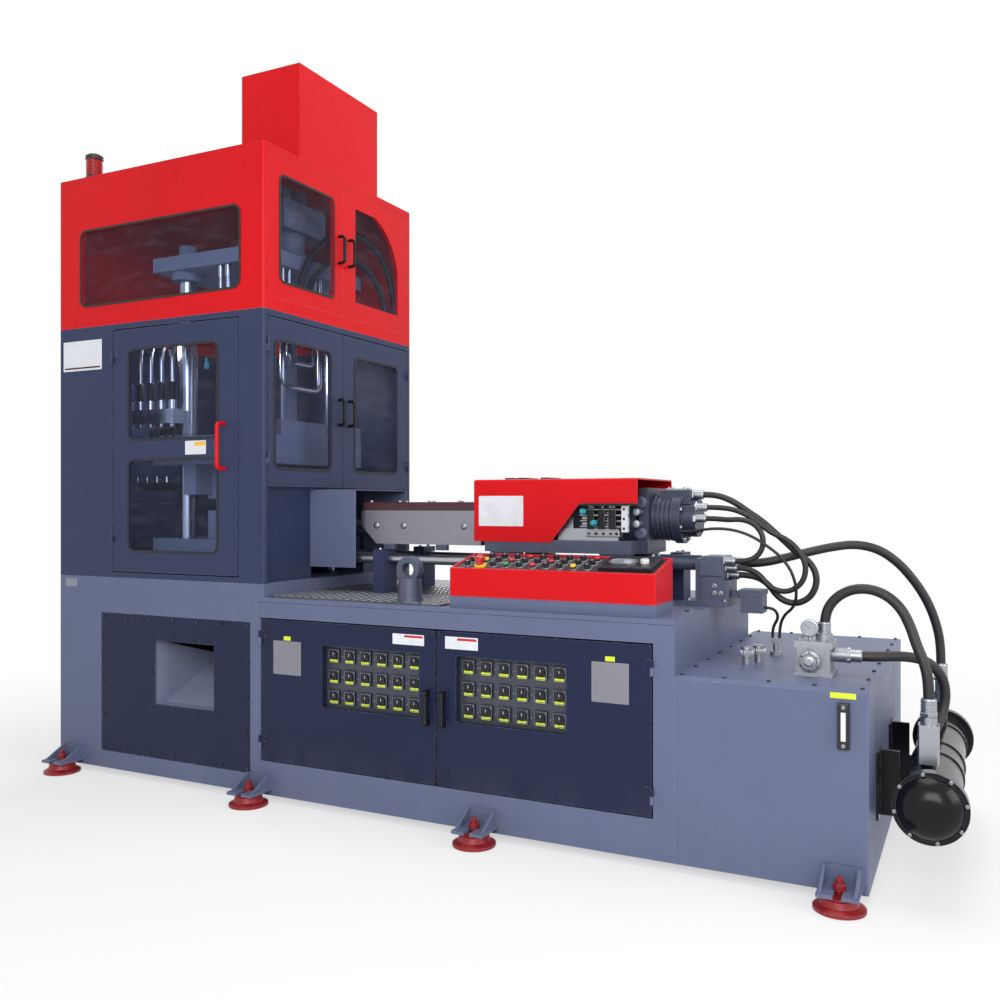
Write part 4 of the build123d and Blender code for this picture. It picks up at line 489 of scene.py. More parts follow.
chrome = steel("chrome_steel", paint(205, 208, 214), 0.18, (1.0, 1.0, 6.0), 60.0, 0.00001)
brushed = steel("brushed_sheet", paint(150, 150, 160), 0.34, (0.08, 2.0, 2.0), 260.0)
chute_sheet = steel("chute_sheet_paint", paint(150, 158, 186), 0.5, (0.2, 2.0, 2.0), 60.0, metallic=0.1)
tread_steel = steel("tread_steel", paint(108, 110, 116), 0.38, (1.0, 1.0, 1.0), 50.0, metallic=0.85)
machined = steel("machined_steel", paint(172, 176, 182), 0.3, (1.0, 8.0, 1.0), 140.0)
iron = casting("machine_iron", paint(78, 85, 108), 0.46)
dark_iron = casting("dark_iron", paint(58, 63, 82), 0.4, 0.4)
cast_silver = casting("cast_aluminium", paint(158, 162, 168), 0.42, 0.85)
eye_iron = casting("eye_casting", paint(74, 82, 104), 0.42, 0.15)
rail_tone = two_tone("rail_steel", paint(178, 182, 188), rail_supports, TOWER_GREY, 0.3, 0.5)
rail_tone.use(metallic=1.0 - rail_supports(rail_tone))
dress(rail_tone, "guide_rails")
dress(chrome, "tie_bars", "stretch_rods", "inner_pipes")
dress(brushed, "barrel_cover")
dress(chute_sheet, "discharge_chute")
dress(tread_steel, "checker_plate")
dress(machined, "injection_barrel", "valve_manifold", "hose_fittings")
dress(iron, "injection_carriage", "rear_bracket")
dress(dark_iron, "hydraulic_motor")
dress(cast_silver, "tank_fittings")
dress(eye_iron, "eye_post")
print("steel and castings")

# %% [markdown]
# ## Glass
# Guard glazing is thin polycarbonate, so light goes straight through with a faint grey tint.
# A clear shader mixed with a little of a glossy one gives that without bending the light.

# %% Guard glazing
def glazing(name, tint, clarity):
    """Thin clear sheet: see-through, with a little gloss and faint wipe marks."""
    finish = Finish(name, base_color=paint(150, 156, 170), roughness=0.08, metallic=0.0)
    clear = finish.node("ShaderNodeBsdfTransparent", {}, {"Color": tint}, None)
    marks = finish.noise(6.0, 7.0, (1.0, 1.0, 3.0), 0.7)
    share = ((1.0 - clarity) + ((marks - 0.5) * 0.25).limited()).limited()
    mix = finish.node("ShaderNodeMixShader", {}, {0: share}, None)
    finish.tree.links.new(clear.outputs[0], mix.inputs[1])
    finish.tree.links.new(finish.shader.outputs[0], mix.inputs[2])
    finish.tree.links.new(mix.outputs[0], finish.output.inputs[0])
    return finish


glass = glazing("guard_glazing", paint(228, 232, 242), 0.97)
dress(glass, "front_door_glass", "side_glass_near", "side_glass_far", "upper_glass")
print("glazing")

# %% [markdown]
# ## Plastics, rubber and the rest
# Small parts have their own look: the beacon's red lens over a black base, black controllers
# on a grey plate, hose with a wrapped cover, and the flared red pads.

# %% Plastics and rubber
def plastic(name, colour, roughness=0.4, coat=0.0):
    """Moulded plastic with a fine grain and finger marks."""
    finish = Finish(name, metallic=0.0, coat_weight=coat)
    marks = finish.noise(24.0, 5.0)
    finish.use(base_color=finish.blend(marks, shade(colour, 0.85), shade(colour, 1.15)))
    finish.use(roughness=(roughness - 0.08) + marks * 0.16)
    finish.bump(finish.noise(900.0, 2.0), 0.00008, 0.5)
    return finish


def banded(name, first, mask_of, second, first_rough, second_rough):
    """Plastic or paint in two colours, picked by a mask on the part's own place."""
    finish = plastic(name, first, first_rough)
    tone = finish.shader.inputs["Base Color"].links[0].from_socket
    mask = mask_of(finish)
    finish.use(base_color=finish.blend(mask, Wire(finish.tree, tone), second))
    finish.use(roughness=mask * (second_rough - first_rough) + first_rough)
    return finish


def beacon_base(finish):
    return (finish.z < metres(z=2997)) + (finish.z > metres(z=3076))


def controller_plate(finish):
    return finish.y > metres(y=40.1)


def gauge_window(finish):
    across = between(finish.x, metres(x=3767), metres(x=3783))
    return across * between(finish.z, metres(z=536), metres(z=632))


def console_screen(finish):
    return finish.x < metres(x=CONSOLE_LEFT + 620)


rubber = plastic("hose_cover", paint(26, 26, 29), 0.5)
wrap = rubber.node(
    "ShaderNodeTexWave", {"bands_direction": "DIAGONAL"},
    {"Vector": rubber.place, "Scale": 60.0, "Distortion": 1.5, "Detail": 2.0},
)
rubber.bump(wrap, 0.0004, 0.5)
beacon_finish = banded("beacon_lens", paint(150, 14, 14), beacon_base, BLACK, 0.15, 0.4)
controller_finish = banded("controller_black", BLACK, controller_plate, paint(58, 62, 74), 0.4, 0.5)
gauge_finish = banded("gauge_black", BLACK, gauge_window, paint(196, 204, 200), 0.35, 0.1)
panel_finish = banded(
    "console_plate_dark", paint(28, 28, 34), console_screen, paint(48, 50, 58), 0.3, 0.35
)
button_black = plastic("button_black", paint(34, 34, 38), 0.3, 0.2)
cooler_paint = sprayed("cooler_gloss", paint(12, 12, 18), 0.2, wear_and_highlight=0.3, dusty=0.05, coat=0.12)
pad_paint = casting("pad_red", paint(140, 18, 22), 0.4, 0.1)
for hose in hoses.values():
    hose.data.materials.append(rubber.material)
dress(beacon_finish, "beacon")
dress(controller_finish, "controller_panels")
dress(gauge_finish, "level_gauge")
dress(panel_finish, "console_panel")
dress(button_black, "console_buttons")
dress(cooler_paint, "oil_cooler")
dress(pad_paint, "mount_pads")
print("plastics and rubber")

# %% [markdown]
# ## A small workshop
# Bolts, rings and plates are made the way a learner makes them by hand: a primitive at its
# size, shaped in edit mode, then set in place. The place is applied, so it lives in the mesh.

# %% Workshop helpers
def pick(piece):
    """Makes a piece the only one selected, and the active one."""
    deselect()
    piece.select_set(True)
    bpy.context.view_layer.objects.active = piece


def settle(piece):
    """The piece's place, turn and size go into its mesh."""
    pick(piece)
    bpy.ops.object.transform_apply(location=True, rotation=True, scale=True)
    return piece


def edit(piece):
    """Opens a piece in edit mode with everything selected."""
    pick(piece)
    bpy.ops.object.mode_set(mode="EDIT")
    bpy.ops.mesh.select_all(action="SELECT")


def leave_edit():
    """Goes back to object mode, so that the mesh takes over what was edited."""
    bpy.ops.object.mode_set(mode="OBJECT")


def modify(piece, kind, **settings):
    """Adds a modifier with its settings to the active piece and applies it."""
    modifier = piece.modifiers.new(kind.lower(), kind)
    for key, value in settings.items():
        setattr(modifier, key, value)
    bpy.ops.object.modifier_apply(modifier=modifier.name)


def block(low, high, edge, segments=2):
    """A block between two corners in millimetres, with rounded edges."""
    deselect()
    low, high = spot(*low), spot(*high)
    bpy.ops.mesh.primitive_cube_add(size=1, location=(low + high) / 2)
    piece = bpy.context.object
    piece.scale = high - low
    settle(piece)
    edit(piece)
    bpy.ops.mesh.bevel(offset=edge / 1000, segments=segments, affect="EDGES")
    leave_edit()
    return piece


def turned(profile, place, axis, sides):
    """A round piece from (radius, height) steps: a disc, extruded and resized step by step."""
    deselect()
    radius, height = profile[0]
    bpy.ops.mesh.primitive_circle_add(vertices=sides, radius=radius / 1000, fill_type="NGON")
    piece = bpy.context.object
    edit(piece)
    bpy.ops.transform.translate(value=(0, 0, height / 1000))
    for (before, low), (after, high) in zip(profile, profile[1:]):
        rise = {"value": (0, 0, (high - low) / 1000)}
        bpy.ops.mesh.extrude_region_move(TRANSFORM_OT_translate=rise)
        share = after / before
        bpy.ops.transform.resize(value=(share, share, 1), center_override=(0, 0, high / 1000))
    bpy.ops.mesh.select_all(action="SELECT")
    bpy.ops.mesh.normals_make_consistent(inside=False)
    leave_edit()
    piece.rotation_euler = Vector(axis).to_track_quat("Z", "Y").to_euler()
    piece.location = spot(*place)
    settle(piece)
    bpy.ops.object.shade_smooth_by_angle(angle=math.radians(40))
    return piece


def moved(piece, place, turn=None):
    """A piece made round the origin, turned there if wanted and then set at a place in metres."""
    if turn:
        piece.data.transform(turn)
    piece.data.transform(Matrix.Translation(place))
    return piece


def join(pieces):
    """Several pieces become one."""
    deselect()
    for piece in pieces:
        piece.select_set(True)
    bpy.context.view_layer.objects.active = pieces[0]
    if len(pieces) > 1:
        bpy.ops.object.join()
    return bpy.context.view_layer.objects.active


def repeat(piece, offsets):
    """Copies of one piece at other places in millimetres, each with its own mesh, joined."""
    copies = []
    for offset in offsets:
        copy = piece.copy()
        copy.data = piece.data.copy()
        copy.data.transform(Matrix.Translation(Vector(offset) / 1000))
        bpy.context.scene.collection.objects.link(copy)
        copies.append(copy)
    bpy.data.objects.remove(piece, do_unlink=True)
    return join(copies)


def add(piece, name, finish, body=MACHINE):
    """Names a piece, gives it its finish and lets it ride on a body."""
    piece.name = name
    piece.data.name = name
    piece.data.materials.clear()
    piece.data.materials.append(finish.material)
    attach(piece, body)
    deselect()
    return piece


def add_block(name, low, high, edge, finish):
    """A rounded block on the machine's own body, named and finished."""
    return add(block(low, high, edge), name, finish)


def front_of(node):
    """Where a node's front face lies along Y, in millimetres from the corner."""
    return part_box(node)[0][1] * 1000 - FRONT


print("workshop ready")

# %% [markdown]
# ## Finishes for small parts
# Bolts are zinc plated, plugs are black oxide, seals are rubber, and the labels and lamps are
# coloured film and plastic. Each keeps a little grain, so that none looks flat close up.

# %% Small finishes
zinc = steel("zinc_bolts", paint(150, 153, 158), 0.32, (1.0, 1.0, 1.0), 220.0)
oxide = casting("black_oxide", paint(30, 30, 34), 0.42, 0.6)
seal = plastic("seal_rubber", paint(20, 20, 23), 0.6)
teal = plastic("teal_fitting", paint(24, 150, 160), 0.32, 0.3)
enamel = plastic("white_enamel", paint(216, 219, 224), 0.34, 0.2)
lime = plastic("lime_film", paint(218, 232, 40), 0.38)
film = plastic("label_film", paint(222, 225, 231), 0.34)
amber = plastic("amber_film", paint(240, 190, 40), 0.38)
lamp_red = plastic("red_lamp", paint(196, 20, 24), 0.24, 0.5)
lamp_green = plastic("green_lamp", paint(24, 138, 62), 0.24, 0.5)
lamp_yellow = plastic("yellow_lamp", paint(238, 196, 24), 0.28, 0.4)
lid_red = sprayed("lid_red", paint(74, 26, 32), 0.4)
display = plastic("display_glass", paint(150, 158, 166), 0.12, 0.8)
print("small finishes")

# %% [markdown]
# ## Bolts
# One hexagon bolt on its washer is turned once and copied to every place where the real
# machine is bolted. Socket screws hold the covers; a recess in the head tells them apart.

# %% Bolts and screws
def hexagon_bolt(place, axis, size):
    """A hexagon head on a washer; size is the head's radius."""
    washer = turned(
        [(size * 1.15, 0), (size * 1.15, size * 0.16), (size * 1.05, size * 0.22)], place, axis, 20
    )
    head = turned(
        [(size, size * 0.2), (size, size * 0.78), (size * 0.88, size * 0.92), (size * 0.5, size * 0.92)],
        place, axis, 6,
    )
    return join([washer, head])


def socket_screw(place, axis, size):
    """A cap screw with a recess in its head."""
    return turned(
        [(size, 0), (size, size * 0.75), (size * 0.9, size * 0.9), (size * 0.55, size * 0.9),
         (size * 0.5, size * 0.4)],
        place, axis, 16,
    )


def from_first(places):
    """How far each place lies from the first one, in millimetres."""
    return [Vector(place) - Vector(places[0]) for place in places]


def bolt_row(name, kind, places, axis, size, finish=zinc):
    """A set of equal bolts at places in millimetres."""
    bolts = repeat(kind(places[0], axis, size), from_first(places))
    return add(bolts, name, finish)


def around(low, high, inset, count_x, count_z):
    """Places round the edge of a rectangle, evenly spaced."""
    (x0, z0), (x1, z1) = low, high
    x0, z0, x1, z1 = x0 + inset, z0 + inset, x1 - inset, z1 - inset
    steps_x = [x0 + (x1 - x0) * i / (count_x - 1) for i in range(count_x)]
    steps_z = [z0 + (z1 - z0) * i / (count_z - 1) for i in range(1, count_z - 1)]
    ring = [(x, z) for x in steps_x for z in (z0, z1)]
    return ring + [(x, z) for z in steps_z for x in (x0, x1)]


FRONTWARD = (0, -1, 0)
BACKWARD = (0, 1, 0)
RIGHTWARD = (1, 0, 0)
UPWARD = (0, 0, 1)
cover_face = front_of("plinth_cover_panel")
cover_ring = [(x, cover_face, z) for x, z in around((290, 111), (1235, 791), 18, 7, 5)]
bolt_row("cover_screws", socket_screw, cover_ring, FRONTWARD, 6, oxide)
chute_ring = [(x, cover_face, z) for x, z in around((625, 350), (1035, 690), 2, 4, 3)]
bolt_row("chute_screws", socket_screw, chute_ring, FRONTWARD, 5, oxide)
tank_ring = [(x, y, 706) for x, y in around((3194, 0), (3853, 1370), 22, 5, 8)]
bolt_row("tank_cover_screws", socket_screw, tank_ring, UPWARD, 7, oxide)
bed_places = [(x, y, 904) for x in (2240, 2700, 3160) for y in (292, 920, 1190)]
bolt_row("bed_plate_screws", socket_screw, bed_places, UPWARD, 8, oxide)
print("cover face at", round(cover_face, 1), "mm")

# %% [markdown]
# ## Bolts on the round parts
# Flanges carry their bolts on a circle. The same head is copied to even steps of angle.

# %% Flange bolts
def circle_places(centre, axis, radius, count, start=0.0):
    """Places on a circle round an axis along X or Y."""
    places = []
    for index in range(count):
        angle = math.tau * index / count + start
        across, up = radius * math.cos(angle), radius * math.sin(angle)
        x, y, z = centre
        places.append((x, y + across, z + up) if axis == "x" else (x + across, y, z + up))
    return places


for name, y, way in (("cooler_near_bolts", 50, FRONTWARD), ("cooler_far_bolts", 1165, BACKWARD)):
    bolt_row(name, hexagon_bolt, circle_places((4036, y, 328), "y", 112, 8, 0.2), way, 5.5)
motor_circle = circle_places((3066, 608.5, 1265), "x", 95, 8, 0.4)
bolt_row("motor_bolts", hexagon_bolt, motor_circle, RIGHTWARD, 9)
end_circle = circle_places((3124, 608.5, 1265), "x", 66, 6)
bolt_row("motor_end_bolts", socket_screw, end_circle, RIGHTWARD, 6, oxide)
filter_places = [(x, y, 830) for y in (210, 312) for x in (3592, 3698)]
bolt_row("filter_bolts", hexagon_bolt, filter_places, UPWARD, 7)
foot_places = [(x, y, 720) for y in (202, 320) for x in (3584, 3706)]
bolt_row("filter_foot_bolts", hexagon_bolt, foot_places, UPWARD, 5)
bracket_places = [(3104, 512, 928), (3104, 705, 928), (3250, 512, 928), (3250, 690, 928)]
bolt_row("bracket_bolts", hexagon_bolt, bracket_places, UPWARD, 9)
support_ys = (430.5 - 38, 430.5 + 38, 786.5 - 38, 786.5 + 38)
support_places = [(x, y, 1111) for x in (1670, 2990) for y in support_ys]
bolt_row("support_bolts", hexagon_bolt, support_places, UPWARD, 8)
print("flange bolts")

# %% [markdown]
# ## Window seals
# Each pane sits in a rubber seal. A seal is a flat face with rounded corners, inset, with its
# middle taken out and a thickness given by Solidify, then turned to face the front or the side.

# %% Plates and seals
FACES = {"front": (90, 0, 0), "side": (90, 0, 90), "top": (0, 0, 0)}


def plate(face, centre, width, height, corner, thickness, hole=0.0):
    """A flat plate with rounded corners; hole is the width of the rim if its middle is open."""
    deselect()
    bpy.ops.mesh.primitive_plane_add(size=1)
    piece = bpy.context.object
    piece.scale = (width / 1000, height / 1000, 1)
    settle(piece)
    edit(piece)
    if corner:
        bpy.ops.mesh.bevel(offset=corner / 1000, segments=8, affect="VERTICES")
    if hole:
        bpy.ops.mesh.select_all(action="SELECT")
        bpy.ops.mesh.inset(thickness=hole / 1000)
        bpy.ops.mesh.delete(type="FACE")
    leave_edit()
    modify(piece, "SOLIDIFY", thickness=thickness / 1000, offset=1)
    modify(piece, "BEVEL", width=min(0.4, thickness * 0.3) / 1000, segments=2, limit_method="ANGLE")
    piece.rotation_euler = [math.radians(angle) for angle in FACES[face]]
    piece.location = spot(*centre)
    return settle(piece)


SIDE_FACE = 1312
SEAL_LIP = 7
SEAL_RIM = 11


def pane_seal(name, face, low, high, corner, body):
    """A seal round a pane, from two corners of the pane in the front or side face."""
    (a0, z0), (a1, z1) = low, high
    along, up = (a0 + a1) / 2, (z0 + z1) / 2
    centre = (along, 0, up) if face == "front" else (SIDE_FACE, along, up)
    width, height = a1 - a0 + 2 * SEAL_LIP, z1 - z0 + 2 * SEAL_LIP
    piece = plate(face, centre, width, height, corner + 6, 3, SEAL_RIM)
    return add(piece, name, seal, body)


pane_seal("front_seal_low", "front", (477, 1098), (1038, 1533), 32, "front_guard_door")
pane_seal("front_seal_high", "front", (477, 1633), (1038, 2068), 32, "front_guard_door")
pane_seal("side_seal_near", "side", (76, 1488), (496, 2068), 32, "side_door_near")
pane_seal("side_seal_far", "side", (696, 1488), (1090, 2068), 32, "side_door_far")
pane_seal("red_window_seal", "front", (147, 2308), (1172, 2680), 40, MACHINE)
pane_seal("red_door_seal", "side", (111, 2341), (518, 2828), 32, MACHINE)
print("six window seals")

# %% [markdown]
# ## Plates and stickers
# Name plates and stickers stay bare: a thin sheet with a rim, and here and there a coloured
# band. They are thin plates on the surface that carries them.

# %% Bare plates
def front_plate(name, x0, x1, z0, z1, y, thickness, finish, corner=2, body=MACHINE):
    """A plate on a face towards the front."""
    piece = plate("front", ((x0 + x1) / 2, y, (z0 + z1) / 2), x1 - x0, z1 - z0, corner, thickness)
    return add(piece, name, finish, body)


hood_face = front_of("injection_hood")
front_plate("tower_plate", 24, 294, 1988, 2137, 0, 2, film, 4)
front_plate("tower_plate_band", 34, 284, 1998, 2006, -2, 0.4, lid_red, 1)
front_plate("hood_plate", 2205, 2420, 1227, 1358, hood_face, 2, film, 4)
front_plate("door_sticker", 843, 971, 1554, 1618, 0, 0.8, film, 3, "front_guard_door")
front_plate("door_sticker_band", 900, 966, 1594, 1612, -0.8, 0.3, amber, 1, "front_guard_door")
front_plate("left_sticker", 1993, 2145, 743, 787, 0, 0.8, film, 3, "cabinet_door_left")
front_plate("left_sticker_band", 2050, 2139, 773, 783, -0.8, 0.3, lamp_red, 1, "cabinet_door_left")
front_plate("right_sticker", 2244, 2394, 740, 790, 0, 0.8, film, 3, "cabinet_door_right")
front_plate("right_sticker_band", 2300, 2388, 775, 785, -0.8, 0.3, lamp_red, 1, "cabinet_door_right")
front_plate("left_document", 1367, 1519, 571, 719, 0, 1.5, brushed, 3, "cabinet_door_left")
front_plate("left_document_tab", 1424, 1462, 722, 740, 0, 0.8, lime, 1, "cabinet_door_left")
front_plate("right_document", 2876, 3023, 584, 735, 0, 1.5, brushed, 3, "cabinet_door_right")
front_plate("right_document_tab", 2930, 2968, 739, 757, 0, 0.8, lime, 1, "cabinet_door_right")
front_plate("tank_label", 3730, 3813, 674, 693, 0, 0.8, lime, 2)
front_plate("gauge_glass", 3768, 3782, 536, 632, -22, 1.2, film, 3)
bolt_row("gauge_bolts", hexagon_bolt, [(3775, -22, 520), (3775, -22, 648)], FRONTWARD, 6)
front_plate("plinth_plate", 40, 120, 910, 950, 0, 1, brushed, 2)
print("plates and stickers")

# %% [markdown]
# ## Temperature controllers
# Behind the cabinet doors sit rows of square controllers, each with a round knob, a bezel and a
# bright strip below it. One of each small piece is made, then copied along the rows.

# %% Controllers
def controller_places():
    """The middles of the controllers behind both cut-outs."""
    places = []
    for x0, x1, z0, z1 in ((1632, 2121, 445, 712), (2295, 2772, 447, 713)):
        for column in range(6):
            for row in range(3):
                places.append((x0 + (x1 - x0) * (column + 0.5) / 6, z0 + (z1 - z0) * (row + 0.5) / 3))
    return places


PLATE_FACE = 40.3
CONTROLLER_FACE = 30.3
controllers = controller_places()
first_x, first_z = controllers[0]
steps = [(x - first_x, 0, z - first_z) for x, z in controllers]
strip = plate("front", (first_x, CONTROLLER_FACE, first_z - 23), 40, 12, 1, 1.2)
add(repeat(strip, steps), "controller_strips", lime)
bezel = plate("front", (first_x, CONTROLLER_FACE, first_z), 54, 54, 3, 1.5, 3)
add(repeat(bezel, steps), "controller_bezels", iron)
knob_profile = [(16.6, 0), (15.5, 4), (14, 5.4), (5, 5.4), (4.5, 4.6)]
knob = turned(knob_profile, (first_x, CONTROLLER_FACE, first_z), FRONTWARD, 24)
add(repeat(knob, steps), "controller_knobs", oxide)
pointer = block((first_x - 1.2, 24.1, first_z + 3), (first_x + 1.2, 25.1, first_z + 13), 0.3, 1)
add(repeat(pointer, steps), "controller_pointers", film)
lamp_place = (first_x + 21, CONTROLLER_FACE, first_z + 21)
lamps = turned([(3, 0), (3, 1.5), (2, 2.6)], lamp_place, FRONTWARD, 12)
add(repeat(lamps, steps), "controller_lamps", zinc)
screw_place = (first_x + 39, PLATE_FACE, first_z - 4)
side_screw = turned([(3.2, 0), (3.2, 1.4), (2.4, 2.2)], screw_place, FRONTWARD, 12)
add(repeat(side_screw, steps), "controller_screws", zinc)
print(len(controllers), "controllers")

# %% [markdown]
# ## Grips and latches
# The cabinet's grips are hollow plastic bows with a soft front. A raised rib makes that shape
# from the plain bar, and small latches sit above and below the doors' seam.

# %% Grips and latches
for x, door in ((2164, "cabinet_door_left"), (2240, "cabinet_door_right")):
    rib = block((x - 7, -33.5, 434), (x + 7, -29.6, 560), 1.6, 3)
    add(rib, f"{door}_grip_rib", oxide, door)
    seamward = 26 if door == "cabinet_door_left" else -26
    for z in (800, 193):
        latch = turned([(7, 0), (7, 5), (5.6, 6.2), (2, 6.2)], (x + seamward, 0, z), FRONTWARD, 16)
        add(latch, f"{door}_latch_{z}", oxide, door)
print("grips and latches")

# %% [markdown]
# ## The console
# The console slopes towards the person at the machine. Its buttons stand square to the slope,
# so each piece is placed by its distance along, up and off the slope.

# %% Console buttons
SLOPE = math.atan2(50, 216)
OFF = (0, -math.sin(SLOPE), math.cos(SLOPE))
ON_SLOPE = Matrix.Rotation(SLOPE, 4, "X")
BACK_TO_ORIGIN = -spot(0, 0, 0)
FIRST_ALONG, FIRST_UP = 60, 46
STEP_ALONG, STEP_UP = 58, 56


def on_slope(along, up, off):
    """A place on the console's slope, in millimetres from the corner."""
    y = 30 + up * math.cos(SLOPE) - off * math.sin(SLOPE)
    z = 1064 + up * math.sin(SLOPE) + off * math.cos(SLOPE)
    return (CONSOLE_LEFT + along, y, z)


def button_place(column, row, off):
    """The middle of a button in the console's grid."""
    return on_slope(FIRST_ALONG + STEP_ALONG * column, FIRST_UP + STEP_UP * row, off)


LAMP_PLAN = (
    "kkkgkrkkyk",
    "kykrkkrkkk",
    "rkkkrkkkkr",
)
bezels = []
caps = {"k": [], "g": [], "r": [], "y": []}
for row, plan in enumerate(LAMP_PLAN):
    for column, lamp in enumerate(plan):
        if row == 0 and column == 1:
            continue
        bezels.append(button_place(column, row, -4))
        caps[lamp].append(button_place(column, row, 12))


def console_set(name, profile, places, finish):
    """Equal round pieces on the slope."""
    piece = turned(profile, places[0], OFF, 20)
    add(repeat(piece, from_first(places)), name, finish)


console_set("button_bezels", [(17, 0), (17, 3), (15, 5), (12.4, 5), (12.4, 3)], bezels, zinc)
CAP = [(12.2, -4), (12.2, 2), (11, 4.4), (7, 5.6)]
console_set("button_caps", [(12.2, -4), (12.2, 6), (11, 8), (4, 8), (3.4, 7)], caps["k"], oxide)
console_set("green_lamps", CAP, caps["g"], lamp_green)
console_set("red_lamps", CAP, caps["r"], lamp_red)
console_set("yellow_lamps", CAP, caps["y"], lamp_yellow)
console_set("button_marks", [(2.6, 7.2), (2.6, 8.4), (1.8, 8.9)], caps["k"], film)
stop = button_place(1, 0, -4)
collar = turned([(27, 0), (27, 7), (24, 10), (15, 10)], stop, OFF, 32)
add(collar, "stop_collar", lamp_yellow)
mushroom = turned(
    [(14.4, 8), (14.4, 27), (21, 28), (22.5, 33), (21, 40), (15, 44), (6, 45)], stop, OFF, 32
)
add(mushroom, "stop_button", lamp_red)
label_places = []
for row in range(3):
    for column in range(10):
        place = on_slope(FIRST_ALONG + STEP_ALONG * column, FIRST_UP + STEP_UP * row + 22, -3.6)
        label_places.append(spot(*place) * 1000)
label = moved(block((-11, -3, -0.6), (11, 3, 0.6), 0.2, 1), BACK_TO_ORIGIN)
label.data.transform(ON_SLOPE)
add(repeat(label, label_places), "button_labels", film)
print(len(bezels), "buttons on a slope of", round(math.degrees(SLOPE), 1), "degrees")

# %% [markdown]
# The screen sits in a raised frame at the right of the slope, with an oval glass in a bright rim
# and one knob beside it. Each is a flat plate made on the floor, tilted and lifted onto the slope.

# %% Console screen
def slope_plate(name, along, up, off, width, height, corner, thickness, finish, rim=0.0):
    """A plate lying on the slope."""
    piece = plate("top", (-LEFT, -FRONT, 0), width, height, corner, thickness, rim)
    return add(moved(piece, spot(*on_slope(along, up, off)), ON_SLOPE), name, finish)


SCREEN_ALONG, SCREEN_UP, SCREEN_OFF = 734.5, 112, 10
GLASS_ALONG = SCREEN_ALONG - 28
slope_plate("screen_rim", SCREEN_ALONG, SCREEN_UP, SCREEN_OFF, 206, 152, 6, 3, oxide, 12)
slope_plate("screen_oval", GLASS_ALONG, SCREEN_UP, SCREEN_OFF, 104, 60, 29, 4, display)
slope_plate("screen_oval_rim", GLASS_ALONG, SCREEN_UP, SCREEN_OFF, 116, 72, 35, 6, zinc, 6)
dial_place = on_slope(SCREEN_ALONG + 58, SCREEN_UP, SCREEN_OFF)
dial = turned([(17, 0), (17, 12), (15, 15), (6, 15)], dial_place, OFF, 28)
add(dial, "screen_knob", enamel)
print("console screen")

# %% [markdown]
# ## Tread plate
# A tread plate has raised lozenges in two directions. One lozenge is a low block with its top
# drawn in; two Array modifiers repeat it, and a second set is turned and set between the first.

# %% Tread plate
LOZENGE = Vector((0.030, 0.008, 0.0022))
PITCH = 0.043


def lozenges(name, angle, shift):
    """A field of lozenges turned by an angle."""
    deselect()
    bpy.ops.mesh.primitive_cube_add(size=1)
    piece = bpy.context.object
    piece.scale = LOZENGE
    settle(piece)
    edit(piece)
    bpy.ops.mesh.select_all(action="DESELECT")
    leave_edit()
    for face in piece.data.polygons:
        face.select = face.normal.z > 0.9
    bpy.ops.object.mode_set(mode="EDIT")
    bpy.ops.transform.resize(value=(0.6, 0.3, 1), center_override=(0, 0, LOZENGE.z / 2))
    leave_edit()
    turn = Matrix.Rotation(math.radians(angle), 4, "Z")
    moved(piece, spot(1340 + shift, 54 + shift, 911.1), turn)
    apart = {"use_relative_offset": False, "use_constant_offset": True}
    modify(piece, "ARRAY", count=20, constant_offset_displace=(PITCH, 0, 0), **apart)
    modify(piece, "ARRAY", count=26, constant_offset_displace=(0, PITCH, 0), **apart)
    return add(piece, name, tread_steel)


lozenges("tread_one_way", 45, 0)
lozenges("tread_other_way", -45, 21.5)
print("tread plate")

# %% [markdown]
# ## Barrel cover and hood
# The cover over the barrel has two round fasteners and a dark lid with screws. The hood has
# low vents on its roof, and pipes, valves and blocks show in its cut-away.

# %% Barrel cover
cover_tone = Wire(brushed.tree, brushed.shader.inputs["Base Color"].links[0].from_socket)
cover_mask = brushed.z > metres(z=1292.5)
brushed.use(base_color=brushed.blend(cover_mask, cover_tone, paint(66, 30, 36)))
brushed.use(metallic=1.0 - cover_mask)
fastener = turned([(15, 0), (15, 2), (12, 5), (5, 6)], (1623, 430.5, 1222), FRONTWARD, 28)
add(repeat(fastener, [(0, 0, 0), (150, 0, 0), (470, 0, 0)]), "cover_fasteners", zinc)
for name, y in (("lid_screws", 452), ("lid_screws_back", 765)):
    bolt_row(name, socket_screw, [(x, y, 1332) for x in (1580, 1740, 1900, 2060)], UPWARD, 8)
for x in (1700, 1980):
    add_block(f"cover_foot_{x}", (x - 28, 418, 1112), (x + 28, 446, 1137), 2, iron)
print("barrel cover")

# %% [markdown]
# The cut-away shows what the hood hides: four pipes, teal elbows, a row of valves with black
# coils and a white block. Each is a plain block or a turned piece, set where the gap shows it.

